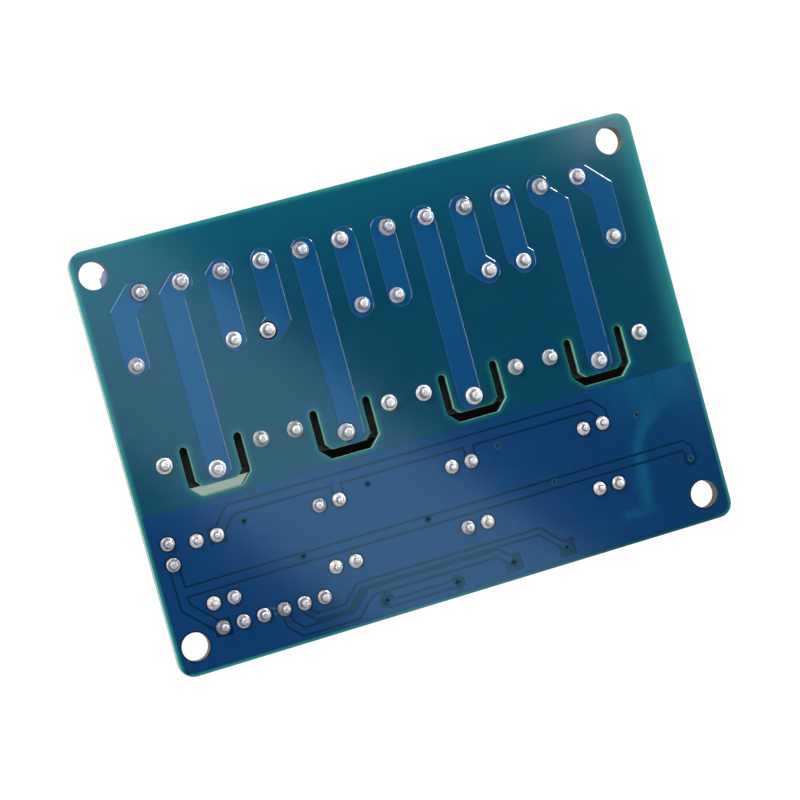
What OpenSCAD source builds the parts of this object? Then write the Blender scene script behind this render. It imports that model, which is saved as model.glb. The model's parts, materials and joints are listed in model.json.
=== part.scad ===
// Four-way relay module: a printed circuit board with relays, rising-cage terminal
// blocks, optocouplers and pin headers.
//
// Frame: millimetres. The board lies solder side up on the tops of its four relays.
// Origin at the middle of the outline, Z = 0 on the relay tops, +X along the board,
// +Y towards the terminal edge, +Z out of the solder side.
// Heights in the modules of the component side are counted away from the board.

/* [View] */
// Piece to draw, or all of them

/* [Board] */
// Length of the board along X
board_l = 71.7; // [70:0.1:80]
// Width of the board along Y
board_w = 51.7; // [50:0.1:60]
// Thickness of the laminate
board_t = 1.6; // [1:0.1:2.4]
// Radius of the board's corners
board_r = 1.8; // [0.5:0.1:3]
// Diameter of the corner holes
hole_d = 3.4; // [2.5:0.1:3.6]
// Corner holes from the left edge
hole_left = 2.5; // [2.3:0.1:4]
// Corner holes from the right edge
hole_right = 3.2; // [2.3:0.1:4]
// Corner holes from the terminal edge
hole_back = 3.1; // [2.3:0.1:4]
// Corner holes from the header edge
hole_front = 3.4; // [2.3:0.1:4]
// Diameter of the small plated vias
via_d = 0.4; // [0.3:0.05:0.45]

/* [Relays] */
// Width of one relay along X
relay_w = 15.4; // [14:0.1:15.6]
// Length of one relay along Y
relay_l = 19.2; // [18:0.1:20]
// Height of one relay over its standoffs
relay_h = 15.2; // [12:0.1:20]
// Height of the standoffs that lift a relay off the board
relay_lift = 0.3; // [0.1:0.05:0.6]
// Gaps between neighbouring relays
relay_gap = [0.86, 1.06, 1.13];
// Middle of the row of relays from the middle of the board
relay_mid = -0.64; // [-2:0.01:2]
// Clear distance from the relays to the terminal blocks
relay_back = 0.92; // [0.4:0.01:2]
// Wall of the relay cover round its base
cover_wall = 0.8; // [0.5:0.1:1.5]
// Thickness of the relay base
relay_base_t = 2.0; // [1:0.1:3]
// Common pin from the end of the relay
common_in = 1.5; // [1.2:0.1:2.5]
// Feet of the base from the relay's sides
foot_side = 2.4; // [2.2:0.1:3]
// Feet of the base from the relay's ends
foot_end = 3.2; // [2.8:0.1:4]
// Foot across
foot_d = 1.4; // [1:0.1:1.8]
// Coil and contact pins from the relay's middle line
side_pin_x = 6.0; // [5:0.1:6.5]
// Coil pins from the common pin
coil_row = 2.0; // [1.5:0.1:4]
// Contact pins from the common pin
contact_row = 14.2; // [12:0.1:15.5]
// Diameter of a relay pin
relay_pin_d = 0.9; // [0.6:0.05:1]

/* [Slots] */
// Width of the isolation slot round each common pin
slot_w = 1.1; // [0.6:0.1:1.5]
// Legs of the slot from the common pin
slot_leg = 3.35; // [3:0.05:4]
// Reach of the legs past the common pin
slot_reach = 3.0; // [2:0.1:4]
// Foot of the slot behind the common pin
slot_foot = 2.1; // [1.8:0.1:2.6]
// Chamfer of the slot's two corners
slot_chamfer = 1.05; // [0.5:0.05:1.8]

/* [Terminal blocks] */
// Distance between two ways
pitch = 5.0; // [5:0.04:5.08]
// Height of a block
block_h = 10.0; // [9.8:0.1:12]
// Depth of a block
block_d = 7.6; // [7.4:0.1:9]
// Row of pins from the terminal edge
block_in = 6.4; // [5:0.1:8]
// Middle of the row of blocks from the middle of the board
block_mid = -0.56; // [-2:0.01:2]
// Gap between the two pairs of blocks
pair_gap = 1.04; // [0.8:0.01:2]
// Gap between the two blocks of a pair
joint_gap = 0.1; // [0.05:0.01:0.2]
// Floor of the block under the clamp
floor_t = 0.7; // [0.6:0.1:1.2]
// Depth of the dovetail rail
rail_t = 0.6; // [0.4:0.05:0.8]
// Width of the wire entry
entry_w = 3.0; // [2.4:0.1:3.2]
// Thickness of the lip that holds a screw in its well
lip_t = 0.25; // [0.15:0.05:0.4]

/* [Clamps and screws] */
// Width of the clamp cage
cage_w = 3.6; // [3.2:0.1:3.7]
// Depth of the clamp cage
cage_d = 3.6; // [3:0.1:4]
// Side walls of the cage
cage_side = 0.5; // [0.4:0.05:0.6]
// Bottom wall of the cage
cage_floor = 0.7; // [0.5:0.05:0.9]
// Tapped wall of the cage
cage_nut = 1.0; // [0.8:0.05:1.2]
// Travel of the cage when its screw is turned home
travel = 2.25; // [1.8:0.05:2.25]
// Play that is left under the contact bar when the cage is home
home_gap = 0.2; // [0.1:0.05:0.4]
// Thickness of the contact bar
bar_t = 0.8; // [0.5:0.05:1]
// Diameter of the screw shank
screw_d = 2.5; // [2:0.1:2.6]
// Diameter of the screw head
head_d = 3.8; // [3.4:0.1:3.9]
// Thickness of the screw head
head_t = 1.3; // [1:0.1:1.5]
// Width of the screwdriver slot
driver_w = 0.6; // [0.4:0.1:0.8]
// Depth of the screwdriver slot
driver_t = 0.6; // [0.4:0.1:0.8]

/* [Optocouplers] */
// Body of an optocoupler along X, along Y and in height
opto = [4.6, 6.5, 3.5];
// Distance between two leads of a row
lead_pitch = 2.54;
// Distance between the two rows of leads
lead_span = 7.62;
// Lift of the body off the board
opto_lift = 0.5; // [0.3:0.1:1]
// Lower row of leads from the header row
opto_up = 3.06; // [2.6:0.01:4]
// First optocoupler from the jumper pins
opto_first = 4.69; // [4.6:0.01:6]
// Each further optocoupler from the one before it
opto_step = [15.32, 17.03, 17.37];
// Thickness of the lead frame
lead_t = 0.25; // [0.2:0.01:0.3]
// Width of a lead where it goes through the board
lead_w = 0.5; // [0.4:0.05:0.6]

/* [Headers] */
// Number of pins in the input header
header_n = 6; // [4:1:6]
// Distance between header pins
header_pitch = 2.54;
// Height of the plastic strip
strip_h = 2.5; // [2:0.1:3]
// Width of the plastic strip
strip_w = 2.48; // [2.4:0.02:2.52]
// Notch between the cells of the strip
strip_cut = 0.34; // [0.2:0.02:0.5]
// Thickness of a square header pin
header_pin = 0.64; // [0.5:0.02:0.64]
// Length of a header pin above its strip
header_free = 6.0; // [5:0.1:7]
// First header pin from the left edge
header_left = 6.25; // [5.5:0.05:8]
// Header row from the header edge
header_in = 4.67; // [4:0.01:6]
// Jumper pins from the left edge
jumper_left = 2.49; // [2:0.01:3]
// Lower jumper pin from the header edge
jumper_in = 13.4; // [12:0.1:15]
// Jumper cap across and in height
cap_w = 2.4; // [2:0.1:2.5]
// Height of the jumper cap
cap_h = 6.0; // [5.8:0.1:7]

/* [Small parts] */
// Chip resistor: length, width, height
chip = [2.0, 1.25, 0.5];
// Indicator lamp: length, width, height
lamp = [2.0, 1.25, 0.8];
// Diode body: length, width, height
diode = [4.3, 2.6, 2.1];
// Transistor body: length, width, height
sot = [2.9, 1.3, 1.0];
// Gap between a column of chips and its neighbours
chip_gap = 1.0; // [0.3:0.1:1.2]
// Gap between other small parts
part_gap = 0.5; // [0.3:0.1:1]

/* [Solder side] */
// Thickness of copper and mask over the laminate
copper_t = 0.08; // [0.05:0.01:0.15]
// Width of a power track
track_w = 3.0; // [2:0.1:3.2]
// Each power track: offset from its terminal pin, drop before the jog, offset from its relay pin
track_lane = [
    [-0.57, 0, 0.1], [-0.05, 0, 0.2], [0, 0, 0.15],
    [0.2, 7.2, 0.45], [0.33, 0, 0.7], [0.5, 0, -0.05],
    [-0.6, 0, 0.4], [-0.4, 0, -0.5], [-0.4, 7.0, -0.1],
    [0, 7.3, 0.07], [-0.2, 1.0, 0.16], [0.4, 0, 0.1]
];
// Margin of the ground plane inside the board's edges
plane_in = 0.45; // [0.3:0.05:1]
// Bare gap between a trace and the ground plane
trace_gap = 0.27; // [0.2:0.01:0.35]
// Bare ring round a pad in the ground plane
pad_gap = 0.2; // [0.1:0.05:0.3]
// Solder joint at a terminal pin: diameter and height
joint_terminal = [2.1, 1.1];
// Solder joint at the common pin of a relay: diameter and height
joint_common = [2.15, 1.1];
// Solder joint at a contact or coil pin: diameter and height
joint_relay = [1.98, 1.0];
// Solder joint at a small pin: diameter and height
joint_small = [1.7, 0.85];
// Length of a pin past the solder side
tail = 1.2; // [1:0.1:1.6]

/* [Fits] */
// Clearance of a pin in its drilled hole
drill_fit = 0.12; // [0.08:0.01:0.2]
// Clearance of a piece in its moulded seat
seat_fit = 0.05; // [0.03:0.01:0.1]
// Clearance of a cage in its chamber
slide_fit = 0.15; // [0.1:0.01:0.2]
// Radial clearance of a screw in its thread
thread_fit = 0.08; // [0.05:0.01:0.1]
// Clearance of a screw head in its well
well_fit = 0.2; // [0.1:0.01:0.2]
// Clearance of solder and copper round a pin or a joint
wet_fit = 0.03; // [0.02:0.01:0.05]

/* [Hidden] */
$fn = 32;
eps = 0.01;
relays = 4;
blocks = 4;
ways = 3;
deck = relay_h + relay_lift;            // component face of the board
top = deck + board_t;                   // solder face of the board
block_l = ways * pitch - joint_gap;
term_y = board_w / 2 - block_in;
relay_top_y = term_y - block_d / 2 - relay_back;
relay_y = relay_top_y - relay_l / 2;
relay_front_y = relay_top_y - relay_l;
common_y = relay_front_y + common_in;
header_y = -board_w / 2 + header_in;
opto_low_y = header_y + opto_up;
opto_y = opto_low_y + lead_span / 2;
opto_top_y = opto_low_y + lead_span;
jumper_x = -board_l / 2 + jumper_left;
jumper_y = min(-board_w / 2 + jumper_in, relay_front_y - part_gap - 1.5 * header_pitch);
plane_top = common_y - slot_foot - slot_w / 2 - 0.65;
gaps = [0, relay_gap[0], relay_gap[0] + relay_gap[1], relay_gap[0] + relay_gap[1] + relay_gap[2]];

// clamp levels, counted from the board
cage_z = floor_t + 0.1;
bar_z = cage_z + cage_floor + travel + home_gap;
window_top = bar_z + bar_t + 0.15;
cage_top = window_top + cage_nut;
head_z = cage_top + travel + 0.15;
chamber_top = head_z - 0.05;
tip_z = bar_z + bar_t + 0.05;
bar_w = cage_w - 2 * cage_side - 0.3;
leg_y = -cage_d / 2 - slide_fit - 0.9;
pin_w = 0.9;
pin_t = 0.6;
terminal_pin_r = norm([pin_w, pin_t]) / 2;
header_pin_r = header_pin * sqrt(2) / 2;
lead_r = norm([lead_w, lead_t]) / 2;
relay_pin_r = relay_pin_d / 2;

// ---- places -------------------------------------------------------------

// Middle of relay i along X
function relay_x(i) = relay_mid - (3 * relay_w + gaps[3]) / 2 + i * relay_w + gaps[i];
// Middle of terminal block b along X
function block_x(b) = block_mid + (b - (blocks - 1) / 2) * ways * pitch
    + (b < blocks / 2 ? -1 : 1) * pair_gap / 2;
// Pin k of the terminal row, counted from the left
function term(k) = [block_x(floor(k / ways)) + (k % ways - (ways - 1) / 2) * pitch, term_y];
// Middle of optocoupler i along X
function opto_x(i) = i == 0 ? jumper_x + opto_first : opto_x(i - 1) + opto_step[i - 1];
// Lead of optocoupler i: column 0 or 1, row 0 (low) or 1 (high)
function opto_pin(i, c, r) = [opto_x(i) + (c - 0.5) * lead_pitch, opto_low_y + r * lead_span];
// Pin i of the input header
function header(i) = [-board_l / 2 + header_left + i * header_pitch, header_y];
// Pin i of the jumper header
function jumper(i) = [jumper_x, jumper_y + i * header_pitch];
// Common, coil and contact pins of relay i
function common(i) = [relay_x(i), common_y];
function coil(i, s) = [relay_x(i) + s * side_pin_x, common_y + coil_row];
function contact(i, s) = [relay_x(i) + s * side_pin_x, common_y + contact_row];
// Relay pin that track k ends on
function track_end(k) = k % ways == 1 ? common(floor(k / ways))
    : contact(floor(k / ways), k % ways - 1);

corner_holes = [
    [-board_l / 2 + hole_left, board_w / 2 - hole_back],
    [board_l / 2 - hole_right, board_w / 2 - hole_back],
    [-board_l / 2 + hole_left, -board_w / 2 + hole_front],
    [board_l / 2 - hole_right, -board_w / 2 + hole_front]
];
terminal_pins = [for (k = [0:blocks * ways - 1]) term(k)];
common_pins = [for (i = [0:relays - 1]) common(i)];
side_pins = [for (i = [0:relays - 1], s = [-1, 1]) for (p = [coil(i, s), contact(i, s)]) p];
opto_pins = [for (i = [0:relays - 1], c = [0, 1], r = [0, 1]) opto_pin(i, c, r)];
header_pins = [for (i = [0:header_n - 1]) header(i)];
jumper_pins = [for (i = [0, 1]) jumper(i)];
small_pins = concat(opto_pins, header_pins, jumper_pins);

// ---- routes on the solder side ------------------------------------------

bus_high = max(plane_top - 1.75, opto_top_y + 1.2); // supply trace between plane edge and pads
bus_mid = opto_y - 1.66;                // supply trace between their rows
run_low = header_y - 3.27;              // levels of the two input traces
run_high = header_y - 0.97;
run_low_2 = header_y - 1.95;
run_high_2 = header_y + 0.13;
via_c = header(4) + [26.18, -2.57];
via_d4 = header(5) + [30.65, -2.7];
via_e1 = header(5) + [7.22, -2.54];
via_e2 = header(5) + [16.2, -2.9];
via_b = [board_l / 2 - 3.7, bus_mid - 1.78];

rise_a = bus_high - opto_top_y;
trace_a = [
    opto_pin(0, 1, 1), [opto_pin(0, 1, 1)[0] + rise_a - 0.2, bus_high],
    [opto_pin(3, 1, 1)[0] - 1.0, bus_high], opto_pin(3, 1, 1) + [0.15, rise_a / 2], opto_pin(3, 1, 1)
];
trace_a2 = [for (i = [1, 2]) [[opto_pin(i, 1, 1)[0] + 0.1, bus_high], opto_pin(i, 1, 1)]];
trace_b = [
    jumper(0), [jumper_x + 0.1, jumper_y - 5.3],
    [jumper_x + 0.1 + (jumper_y - 5.3 - header_y - 0.45), header_y + 0.45], header(0)
];
trace_b2 = [[jumper_x + 0.1, bus_mid], [via_b[0] - 0.65, bus_mid], [via_b[0], bus_mid - 0.65], via_b];
trace_c = [
    header(3), header(3) + [0.2, -1.9], [header(3)[0] + 0.2 + (header_y - 1.9 - run_low), run_low],
    [header(5)[0] + 3.2, run_low], [header(5)[0] + 3.2 + run_high - run_low, run_high],
    [via_c[0] - (run_high - via_c[1]), run_high], via_c
];
trace_d = [
    header(4), header(4) + [0, -0.97], [header(4)[0] + 0.98, run_low_2],
    [header(5)[0] + 2.3, run_low_2], [header(5)[0] + 2.3 + run_high_2 - run_low_2, run_high_2],
    [via_d4[0] - (run_high_2 - via_d4[1]), run_high_2], via_d4
];
trace_e = [via_e1, via_e1 + [0.5, -0.46], [via_e2[0] - 0.4, via_e1[1] - 0.46], via_e2];
// bare strip between the two input traces
strip_cd = [
    header(4) + [0.9, (run_low + run_low_2) / 2 - header_y], [header(5)[0] + 2.75, (run_low + run_low_2) / 2],
    [header(5)[0] + 2.75 + (run_high + run_high_2 - run_low - run_low_2) / 2, (run_high + run_high_2) / 2],
    [via_c[0] - 1.6, (run_high + run_high_2) / 2]
];
w_a = 1.0;
w_b = 0.92;
w_c = 0.68;
w_d = 0.5;
w_e = 0.55;

vias = concat(
    [via_b, via_c, via_d4, via_e1, via_e2],
    [for (i = [0:relays - 2]) [opto_x(i) + [10.57, 11.2, 10.67][i], bus_mid + 0.2]],
    [for (i = [0:relays - 1]) [opto_x(i) + [4.77, 5.15, 4.92, 5.75][i], opto_top_y + [0.7, 0.85, 0.9, -0.2][i]]]
);

// Direction of a leg, and the shift to its left side
function heading(a, b) = (b - a) / norm(b - a);
function left(v) = [-v[1], v[0]];
// Offset point of a path at corner i, on side s, with a mitre where it bends
function mitre(p, i, s, w) = let(
    u = heading(p[max(i - 1, 0)], p[max(i, 1)]),
    v = heading(p[min(i, len(p) - 2)], p[min(i + 1, len(p) - 1)]),
    n = left(u) + left(v)
) p[i] + s * w * n / (n * n);
// Half round end of a path, turning from one side to the other
function round_end(c, start, w, steps) = [
    for (j = [1:steps - 1]) c + w / 2 * [cos(start - j * 180 / steps), sin(start - j * 180 / steps)]
];
// Outline of a path of width w with mitred bends and round ends
function ribbon(p, w, steps = 10) = let(
    n = len(p) - 1, a = heading(p[0], p[1]), b = heading(p[n - 1], p[n])
) concat(
    [for (i = [0:n]) mitre(p, i, 1, w)],
    round_end(p[n], atan2(b[1], b[0]) + 90, w, steps),
    [for (i = [n:-1:0]) mitre(p, i, -1, w)],
    round_end(p[0], atan2(a[1], a[0]) - 90, w, steps)
);
// Route of power track k from its terminal pin to its relay pin
function track(k) = let(
    s = term(k) + [track_lane[k][0], 0], e = track_end(k) + [track_lane[k][2], 0],
    jog = abs(e[0] - s[0]), bend = s - [0, track_lane[k][1]]
) concat([s], track_lane[k][1] > 0 ? [bend] : [], jog > 0.2 ? [[e[0], bend[1] - jog]] : [],
    e[1] < bend[1] - jog - 0.3 ? [e] : []);
// Isolation slot round the common pin of relay i
function slot(i) = [
    for (s = [-1, 1], p = s < 0
        ? [[-slot_leg, slot_reach], [-slot_leg, -slot_foot + slot_chamfer], [-slot_leg + slot_chamfer, -slot_foot]]
        : [[slot_leg - slot_chamfer, -slot_foot], [slot_leg, -slot_foot + slot_chamfer], [slot_leg, slot_reach]])
    common(i) + p
];

// ---- shared shapes -------------------------------------------------------

// Puts the component side's shapes, drawn upwards, under the board
module below() translate([0, 0, deck]) mirror([0, 0, 1]) children();

// One copy at each place of a list
module at(places) for (p = places) translate([p[0], p[1], 0]) children();

// Rectangle with rounded corners about the origin
module rounded(l, w, r, steps = 6) polygon([
    for (q = [0:3], j = [0:steps]) let(a = 90 * q + 90 * j / steps, sx = q == 0 || q == 3 ? 1 : -1, sy = q < 2 ? 1 : -1)
        [sx * (l / 2 - r) + r * cos(a), sy * (w / 2 - r) + r * sin(a)]
]);

// Block between two levels
module slab(x, y, z0, z1) translate([-x / 2, -y / 2, z0]) cube([x, y, z1 - z0]);

// Profile in Y and height, run along X
module along_x(l) rotate([90, 0, 90]) linear_extrude(l, center = true) children();

// Profile in X and height, run along Y
module along_y(l) rotate([90, 0, 0]) linear_extrude(l, center = true) children();

// Section of a body whose edges are chamfered by c at the far end
module chamfered(w, h, c) polygon([
    [-w / 2, 0], [w / 2, 0], [w / 2, h - c], [w / 2 - c, h], [-w / 2 + c, h], [-w / 2, h - c]
]);

// Solder fillet of diameter and height d, with the pin's radius left free
module fillet(d, pin_r) rotate_extrude() polygon([
    [pin_r + wet_fit, 0], [d[0] / 2, 0], [d[0] / 2, 0.12 * d[1]], [0.47 * d[0], 0.42 * d[1]],
    [0.37 * d[0], 0.74 * d[1]], [pin_r + 0.12, 0.97 * d[1]], [pin_r + wet_fit, d[1]]
]);

// ---- board and copper ----------------------------------------------------

module circuit_board() color("#0b5a63") translate([0, 0, deck]) linear_extrude(board_t) difference() {
    rounded(board_l, board_w, board_r);
    at(corner_holes) circle(d = hole_d, $fn = 48);
    at(terminal_pins) circle(terminal_pin_r + drill_fit);
    at(concat(common_pins, side_pins)) circle(relay_pin_r + drill_fit);
    at(opto_pins) circle(lead_r + drill_fit);
    at(concat(header_pins, jumper_pins)) circle(header_pin_r + drill_fit);
    at(vias) circle(d = via_d);
    for (i = [0:relays - 1]) polygon(ribbon(slot(i), slot_w));
}

// All traces with g added on each side
module traces(g) {
    polygon(ribbon(trace_a, w_a + 2 * g));
    for (p = trace_a2) polygon(ribbon(p, w_a + 2 * g));
    polygon(ribbon(trace_b, w_b + 2 * g));
    polygon(ribbon(trace_b2, w_b + 2 * g));
    polygon(ribbon(trace_c, w_c + 2 * g));
    polygon(ribbon(trace_d, w_d + 2 * g));
    polygon(ribbon(trace_e, w_e + 2 * g));
}

module ground_plane() color("#0f4678") translate([0, 0, top]) linear_extrude(copper_t) difference() {
    intersection() {
        rounded(board_l - 2 * plane_in, board_w - 2 * plane_in, board_r - plane_in);
        translate([-board_l, plane_top - board_w]) square([2 * board_l, board_w]);
    }
    traces(trace_gap);
    polygon(ribbon(strip_cd, run_high_2 - run_high - (w_c + w_d) / 2 + 0.1));
    at(small_pins) circle(joint_small[0] / 2 + pad_gap, $fn = 12);
    for (p = [header(0), opto_pin(0, 1, 1), via_c, via_d4]) translate(p) square(2.1, center = true);
    at([via_e1, via_e2, via_b]) circle(0.95, $fn = 12);
    at(corner_holes) circle(d = hole_d + 2 * pad_gap);
    at(vias) circle(d = via_d, $fn = 12);
}

module signal_traces() color("#0f4678") translate([0, 0, top]) difference() {
    union() {
        linear_extrude(copper_t) traces(0);
        at([via_b, via_c, via_d4, via_e1, via_e2]) cylinder(r = 0.5, h = copper_t);
    }
    translate([0, 0, -eps]) linear_extrude(copper_t + 2 * eps) {
        at(small_pins) circle(joint_small[0] / 2 + wet_fit);
        at(vias) circle(d = via_d);
    }
}

module power_tracks() color("#155087") translate([0, 0, top]) linear_extrude(copper_t) difference() {
    for (k = [0:blocks * ways - 1]) polygon(ribbon(track(k), track_w));
    at(terminal_pins) circle(joint_terminal[0] / 2 + wet_fit);
    at(common_pins) circle(joint_common[0] / 2 + wet_fit);
    at(side_pins) circle(joint_relay[0] / 2 + wet_fit);
}

module solder_terminals() color("#b9bbbd") translate([0, 0, top])
    at(terminal_pins) fillet(joint_terminal, terminal_pin_r);

module solder_relays() color("#b9bbbd") translate([0, 0, top]) {
    at(common_pins) fillet(joint_common, relay_pin_r);
    at(side_pins) fillet(joint_relay, relay_pin_r);
}

module solder_small() color("#b9bbbd") translate([0, 0, top]) {
    at(opto_pins) fillet(joint_small, lead_r);
    at(concat(header_pins, jumper_pins)) fillet(joint_small, header_pin_r);
}

// ---- relays --------------------------------------------------------------

module relay_cover(i) color("#1d2024") translate([relay_x(i), relay_y, 0]) below() difference() {
    translate([0, 0, relay_lift]) intersection() {
        linear_extrude(relay_h) rounded(relay_w, relay_l, 0.8);
        along_x(relay_w) chamfered(relay_l, relay_h, 0.4);
        along_y(relay_l) chamfered(relay_w, relay_h, 0.4);
    }
    slab(relay_w - 2 * cover_wall, relay_l - 2 * cover_wall, 0, relay_lift + relay_base_t + seat_fit);
    // shallow round of the vent in the top face
    translate([relay_w / 2 - 2.2, relay_l / 2 - 2.2, deck - 0.25]) cylinder(d = 1.8, h = 1);
}

module relay_base(i) color("#121417") translate([relay_x(i), relay_y, 0]) below() difference() {
    union() {
        slab(relay_w - 2 * cover_wall - 2 * seat_fit, relay_l - 2 * cover_wall - 2 * seat_fit,
            relay_lift, relay_lift + relay_base_t);
        for (x = [-1, 1], y = [-1, 1]) translate([x * (relay_w / 2 - foot_side), y * (relay_l / 2 - foot_end) + 0.2, 0])
            cylinder(d = foot_d, h = relay_lift + 0.5);
    }
    translate([-relay_x(i), -relay_y, 0]) at([common(i), coil(i, -1), coil(i, 1), contact(i, -1), contact(i, 1)])
        translate([0, 0, -eps]) cylinder(r = relay_pin_r + seat_fit, h = relay_lift + relay_base_t - 0.3);
}

module relay_pins() color("#c9cacc") below() at(concat(common_pins, side_pins))
    translate([0, 0, -board_t - tail]) cylinder(d = relay_pin_d, h = board_t + tail + relay_lift + relay_base_t - 0.4);

// ---- terminal blocks -----------------------------------------------------

// Dovetail of the block's side, grown by c
module rail(c) polygon([
    [0.3, -0.6 - c], [0.3, 0.6 + c], [0, 0.6 + c], [-rail_t - c, 0.85 + c], [-rail_t - c, -0.85 - c], [0, -0.6 - c]
]);

module terminal_housing(b) color("#2c63b4") translate([block_x(b), term_y, 0]) below() difference() {
    union() {
        along_x(block_l) polygon([
            [-block_d / 2, 0], [block_d / 2, 0], [block_d / 2, 0.62 * block_h], [block_d / 2 - 0.9, block_h],
            [-block_d / 2 + 0.8, block_h], [-block_d / 2, block_h - 1.6]
        ]);
        for (y = [-1, 1]) translate([-block_l / 2, 2.2 * y, 0]) linear_extrude(0.62 * block_h) rail(0);
    }
    for (y = [-1, 1]) translate([block_l / 2 + joint_gap, 2.2 * y, -eps])
        linear_extrude(0.62 * block_h + seat_fit + eps) rail(seat_fit);
    for (w = [0:ways - 1]) translate([(w - (ways - 1) / 2) * pitch, 0, 0]) way_cut();
}

// Room inside the housing for one way
module way_cut() {
    slab(cage_w + 2 * slide_fit, cage_d + 2 * slide_fit, floor_t, chamber_top);
    translate([0, 0, chamber_top - eps]) cylinder(d = head_d + 2 * well_fit, h = block_h - lip_t - chamber_top + eps);
    translate([0, 0, chamber_top]) cylinder(d = head_d - 0.4, h = block_h);
    // wire entry on the outer face, with a funnel
    translate([0, block_d / 2, 0]) {
        slab(entry_w, block_d, cage_z + cage_floor, bar_z - 0.1);
        rotate([90, 0, 0]) translate([0, (cage_z + cage_floor + bar_z) / 2, -0.01])
            cylinder(r1 = entry_w / 2 + 0.45, r2 = entry_w / 2 - 0.1, h = 0.6);
    }
    // channel of the contact
    translate([0, leg_y, 0]) slab(bar_w + 2 * seat_fit, 0.6 + 2 * seat_fit, -eps, bar_z + bar_t + seat_fit);
    translate([0, leg_y / 2 - 0.5, 0]) slab(bar_w + 2 * seat_fit, -leg_y - 0.9, bar_z - seat_fit, bar_z + bar_t + seat_fit);
    translate([0, leg_y / 2 + 0.1, 0]) slab(1.2 + 2 * seat_fit, -leg_y + 0.8 + 2 * seat_fit, -eps, 0.5 + seat_fit);
}

module terminal_contacts(b) color("#c8b273") translate([block_x(b), term_y, 0]) below()
    for (w = [0:ways - 1]) translate([(w - (ways - 1) / 2) * pitch, 0, 0]) {
        // bar over the wire, leg behind the cage, foot on the board and pin through it
        translate([0, (leg_y + cage_d / 2 - 0.4) / 2, 0]) slab(bar_w, cage_d / 2 - 0.1 - leg_y, bar_z, bar_z + bar_t);
        translate([0, leg_y, 0]) slab(bar_w, 0.6, 0, bar_z + bar_t);
        translate([0, leg_y / 2 + 0.1, 0]) slab(1.2, -leg_y + 0.8, 0, 0.5);
        slab(pin_w, pin_t, -board_t - tail, 0.3);
    }

module clamp(k) color("#b5b7ba") translate([term(k)[0], term(k)[1], 0]) below() difference() {
    slab(cage_w, cage_d, cage_z, cage_top);
    slab(cage_w - 2 * cage_side, cage_d + 1, cage_z + cage_floor, window_top);
    translate([0, 0, window_top - 0.5]) cylinder(d = screw_d + 2 * thread_fit, h = cage_nut + 1);
    // bevels where the strip is folded
    for (s = [-1, 1]) translate([s * cage_w / 2, 0, cage_z]) rotate([0, 45, 0])
        cube([0.5, cage_d + 1, 0.5], center = true);
}

module screw(k) color("#cfd1d4") translate([term(k)[0], term(k)[1], 0]) below() difference() {
    rotate_extrude() polygon([
        [0, tip_z], [screw_d / 2 - 0.3, tip_z], [screw_d / 2, tip_z + 0.3], [screw_d / 2, head_z],
        [head_d / 2, head_z], [head_d / 2, head_z + head_t - 0.25], [head_d / 2 - 0.25, head_z + head_t],
        [0, head_z + head_t]
    ]);
    slab(head_d + 1, driver_w, head_z + head_t - driver_t, head_z + head_t + 1);
}

// ---- optocouplers --------------------------------------------------------

module optocouplers() color("#20242a") for (i = [0:relays - 1])
    translate([opto_x(i), opto_y, 0]) below() difference() {
        intersection() {
            along_x(opto[0]) polygon([
                [-opto[1] / 2 + 0.15, opto_lift], [opto[1] / 2 - 0.15, opto_lift],
                [opto[1] / 2, opto_lift + 1.4], [opto[1] / 2, opto_lift + 2],
                [opto[1] / 2 - 0.2, opto_lift + opto[2]], [-opto[1] / 2 + 0.2, opto_lift + opto[2]],
                [-opto[1] / 2, opto_lift + 2], [-opto[1] / 2, opto_lift + 1.4]
            ]);
            along_y(opto[1] + 1) polygon([
                [-opto[0] / 2 + 0.15, opto_lift], [opto[0] / 2 - 0.15, opto_lift],
                [opto[0] / 2, opto_lift + 1.7], [opto[0] / 2 - 0.2, opto_lift + opto[2]],
                [-opto[0] / 2 + 0.2, opto_lift + opto[2]], [-opto[0] / 2, opto_lift + 1.7]
            ]);
        }
        translate([-opto[0] / 2 + 1.1, opto[1] / 2 - 1.1, opto_lift + opto[2] - 0.15]) cylinder(d = 1, h = 1);
    }

// One lead of an optocoupler: shoulder, wide part and tail, for the side s
module lead(s) {
    z = opto_lift + 1.7;
    reach = lead_span / 2 - opto[1] / 2;
    translate([-0.6, s > 0 ? -reach : -lead_t / 2, z - lead_t / 2]) cube([1.2, reach + lead_t / 2, lead_t]);
    slab(1.2, lead_t, 0.35, z);
    slab(lead_w, lead_t, -board_t - tail + 0.3, 0.5);
}

module optocoupler_leads() color("#c2c4c6") below() for (i = [0:relays - 1], c = [0, 1], r = [0, 1])
    translate([opto_pin(i, c, r)[0], opto_pin(i, c, r)[1], 0]) lead(r == 1 ? 1 : -1);

// ---- headers -------------------------------------------------------------

// Plastic strip on a list of pins, notched between its cells
module strip(pins, turned) at(pins) difference() {
    linear_extrude(strip_h) rotate(turned ? 90 : 0) {
        l = header_pitch / 2 + eps;
        w = strip_w / 2;
        c = w - strip_cut;
        polygon([[-l, -c], [-c, -w], [c, -w], [l, -c], [l, c], [c, w], [-c, w], [-l, c]]);
    }
    slab(header_pin + 2 * wet_fit, header_pin + 2 * wet_fit, -1, strip_h + 1);
}

module pin_row(pins) at(pins) slab(header_pin, header_pin, -board_t - tail, strip_h + header_free);

module input_header() color("#17181b") below() strip(header_pins, false);

module input_header_pins() color("#d8c27a") below() pin_row(header_pins);

module jumper_header() color("#17181b") below() strip(jumper_pins, true);

module jumper_header_pins() color("#d8c27a") below() pin_row(jumper_pins);

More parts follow.
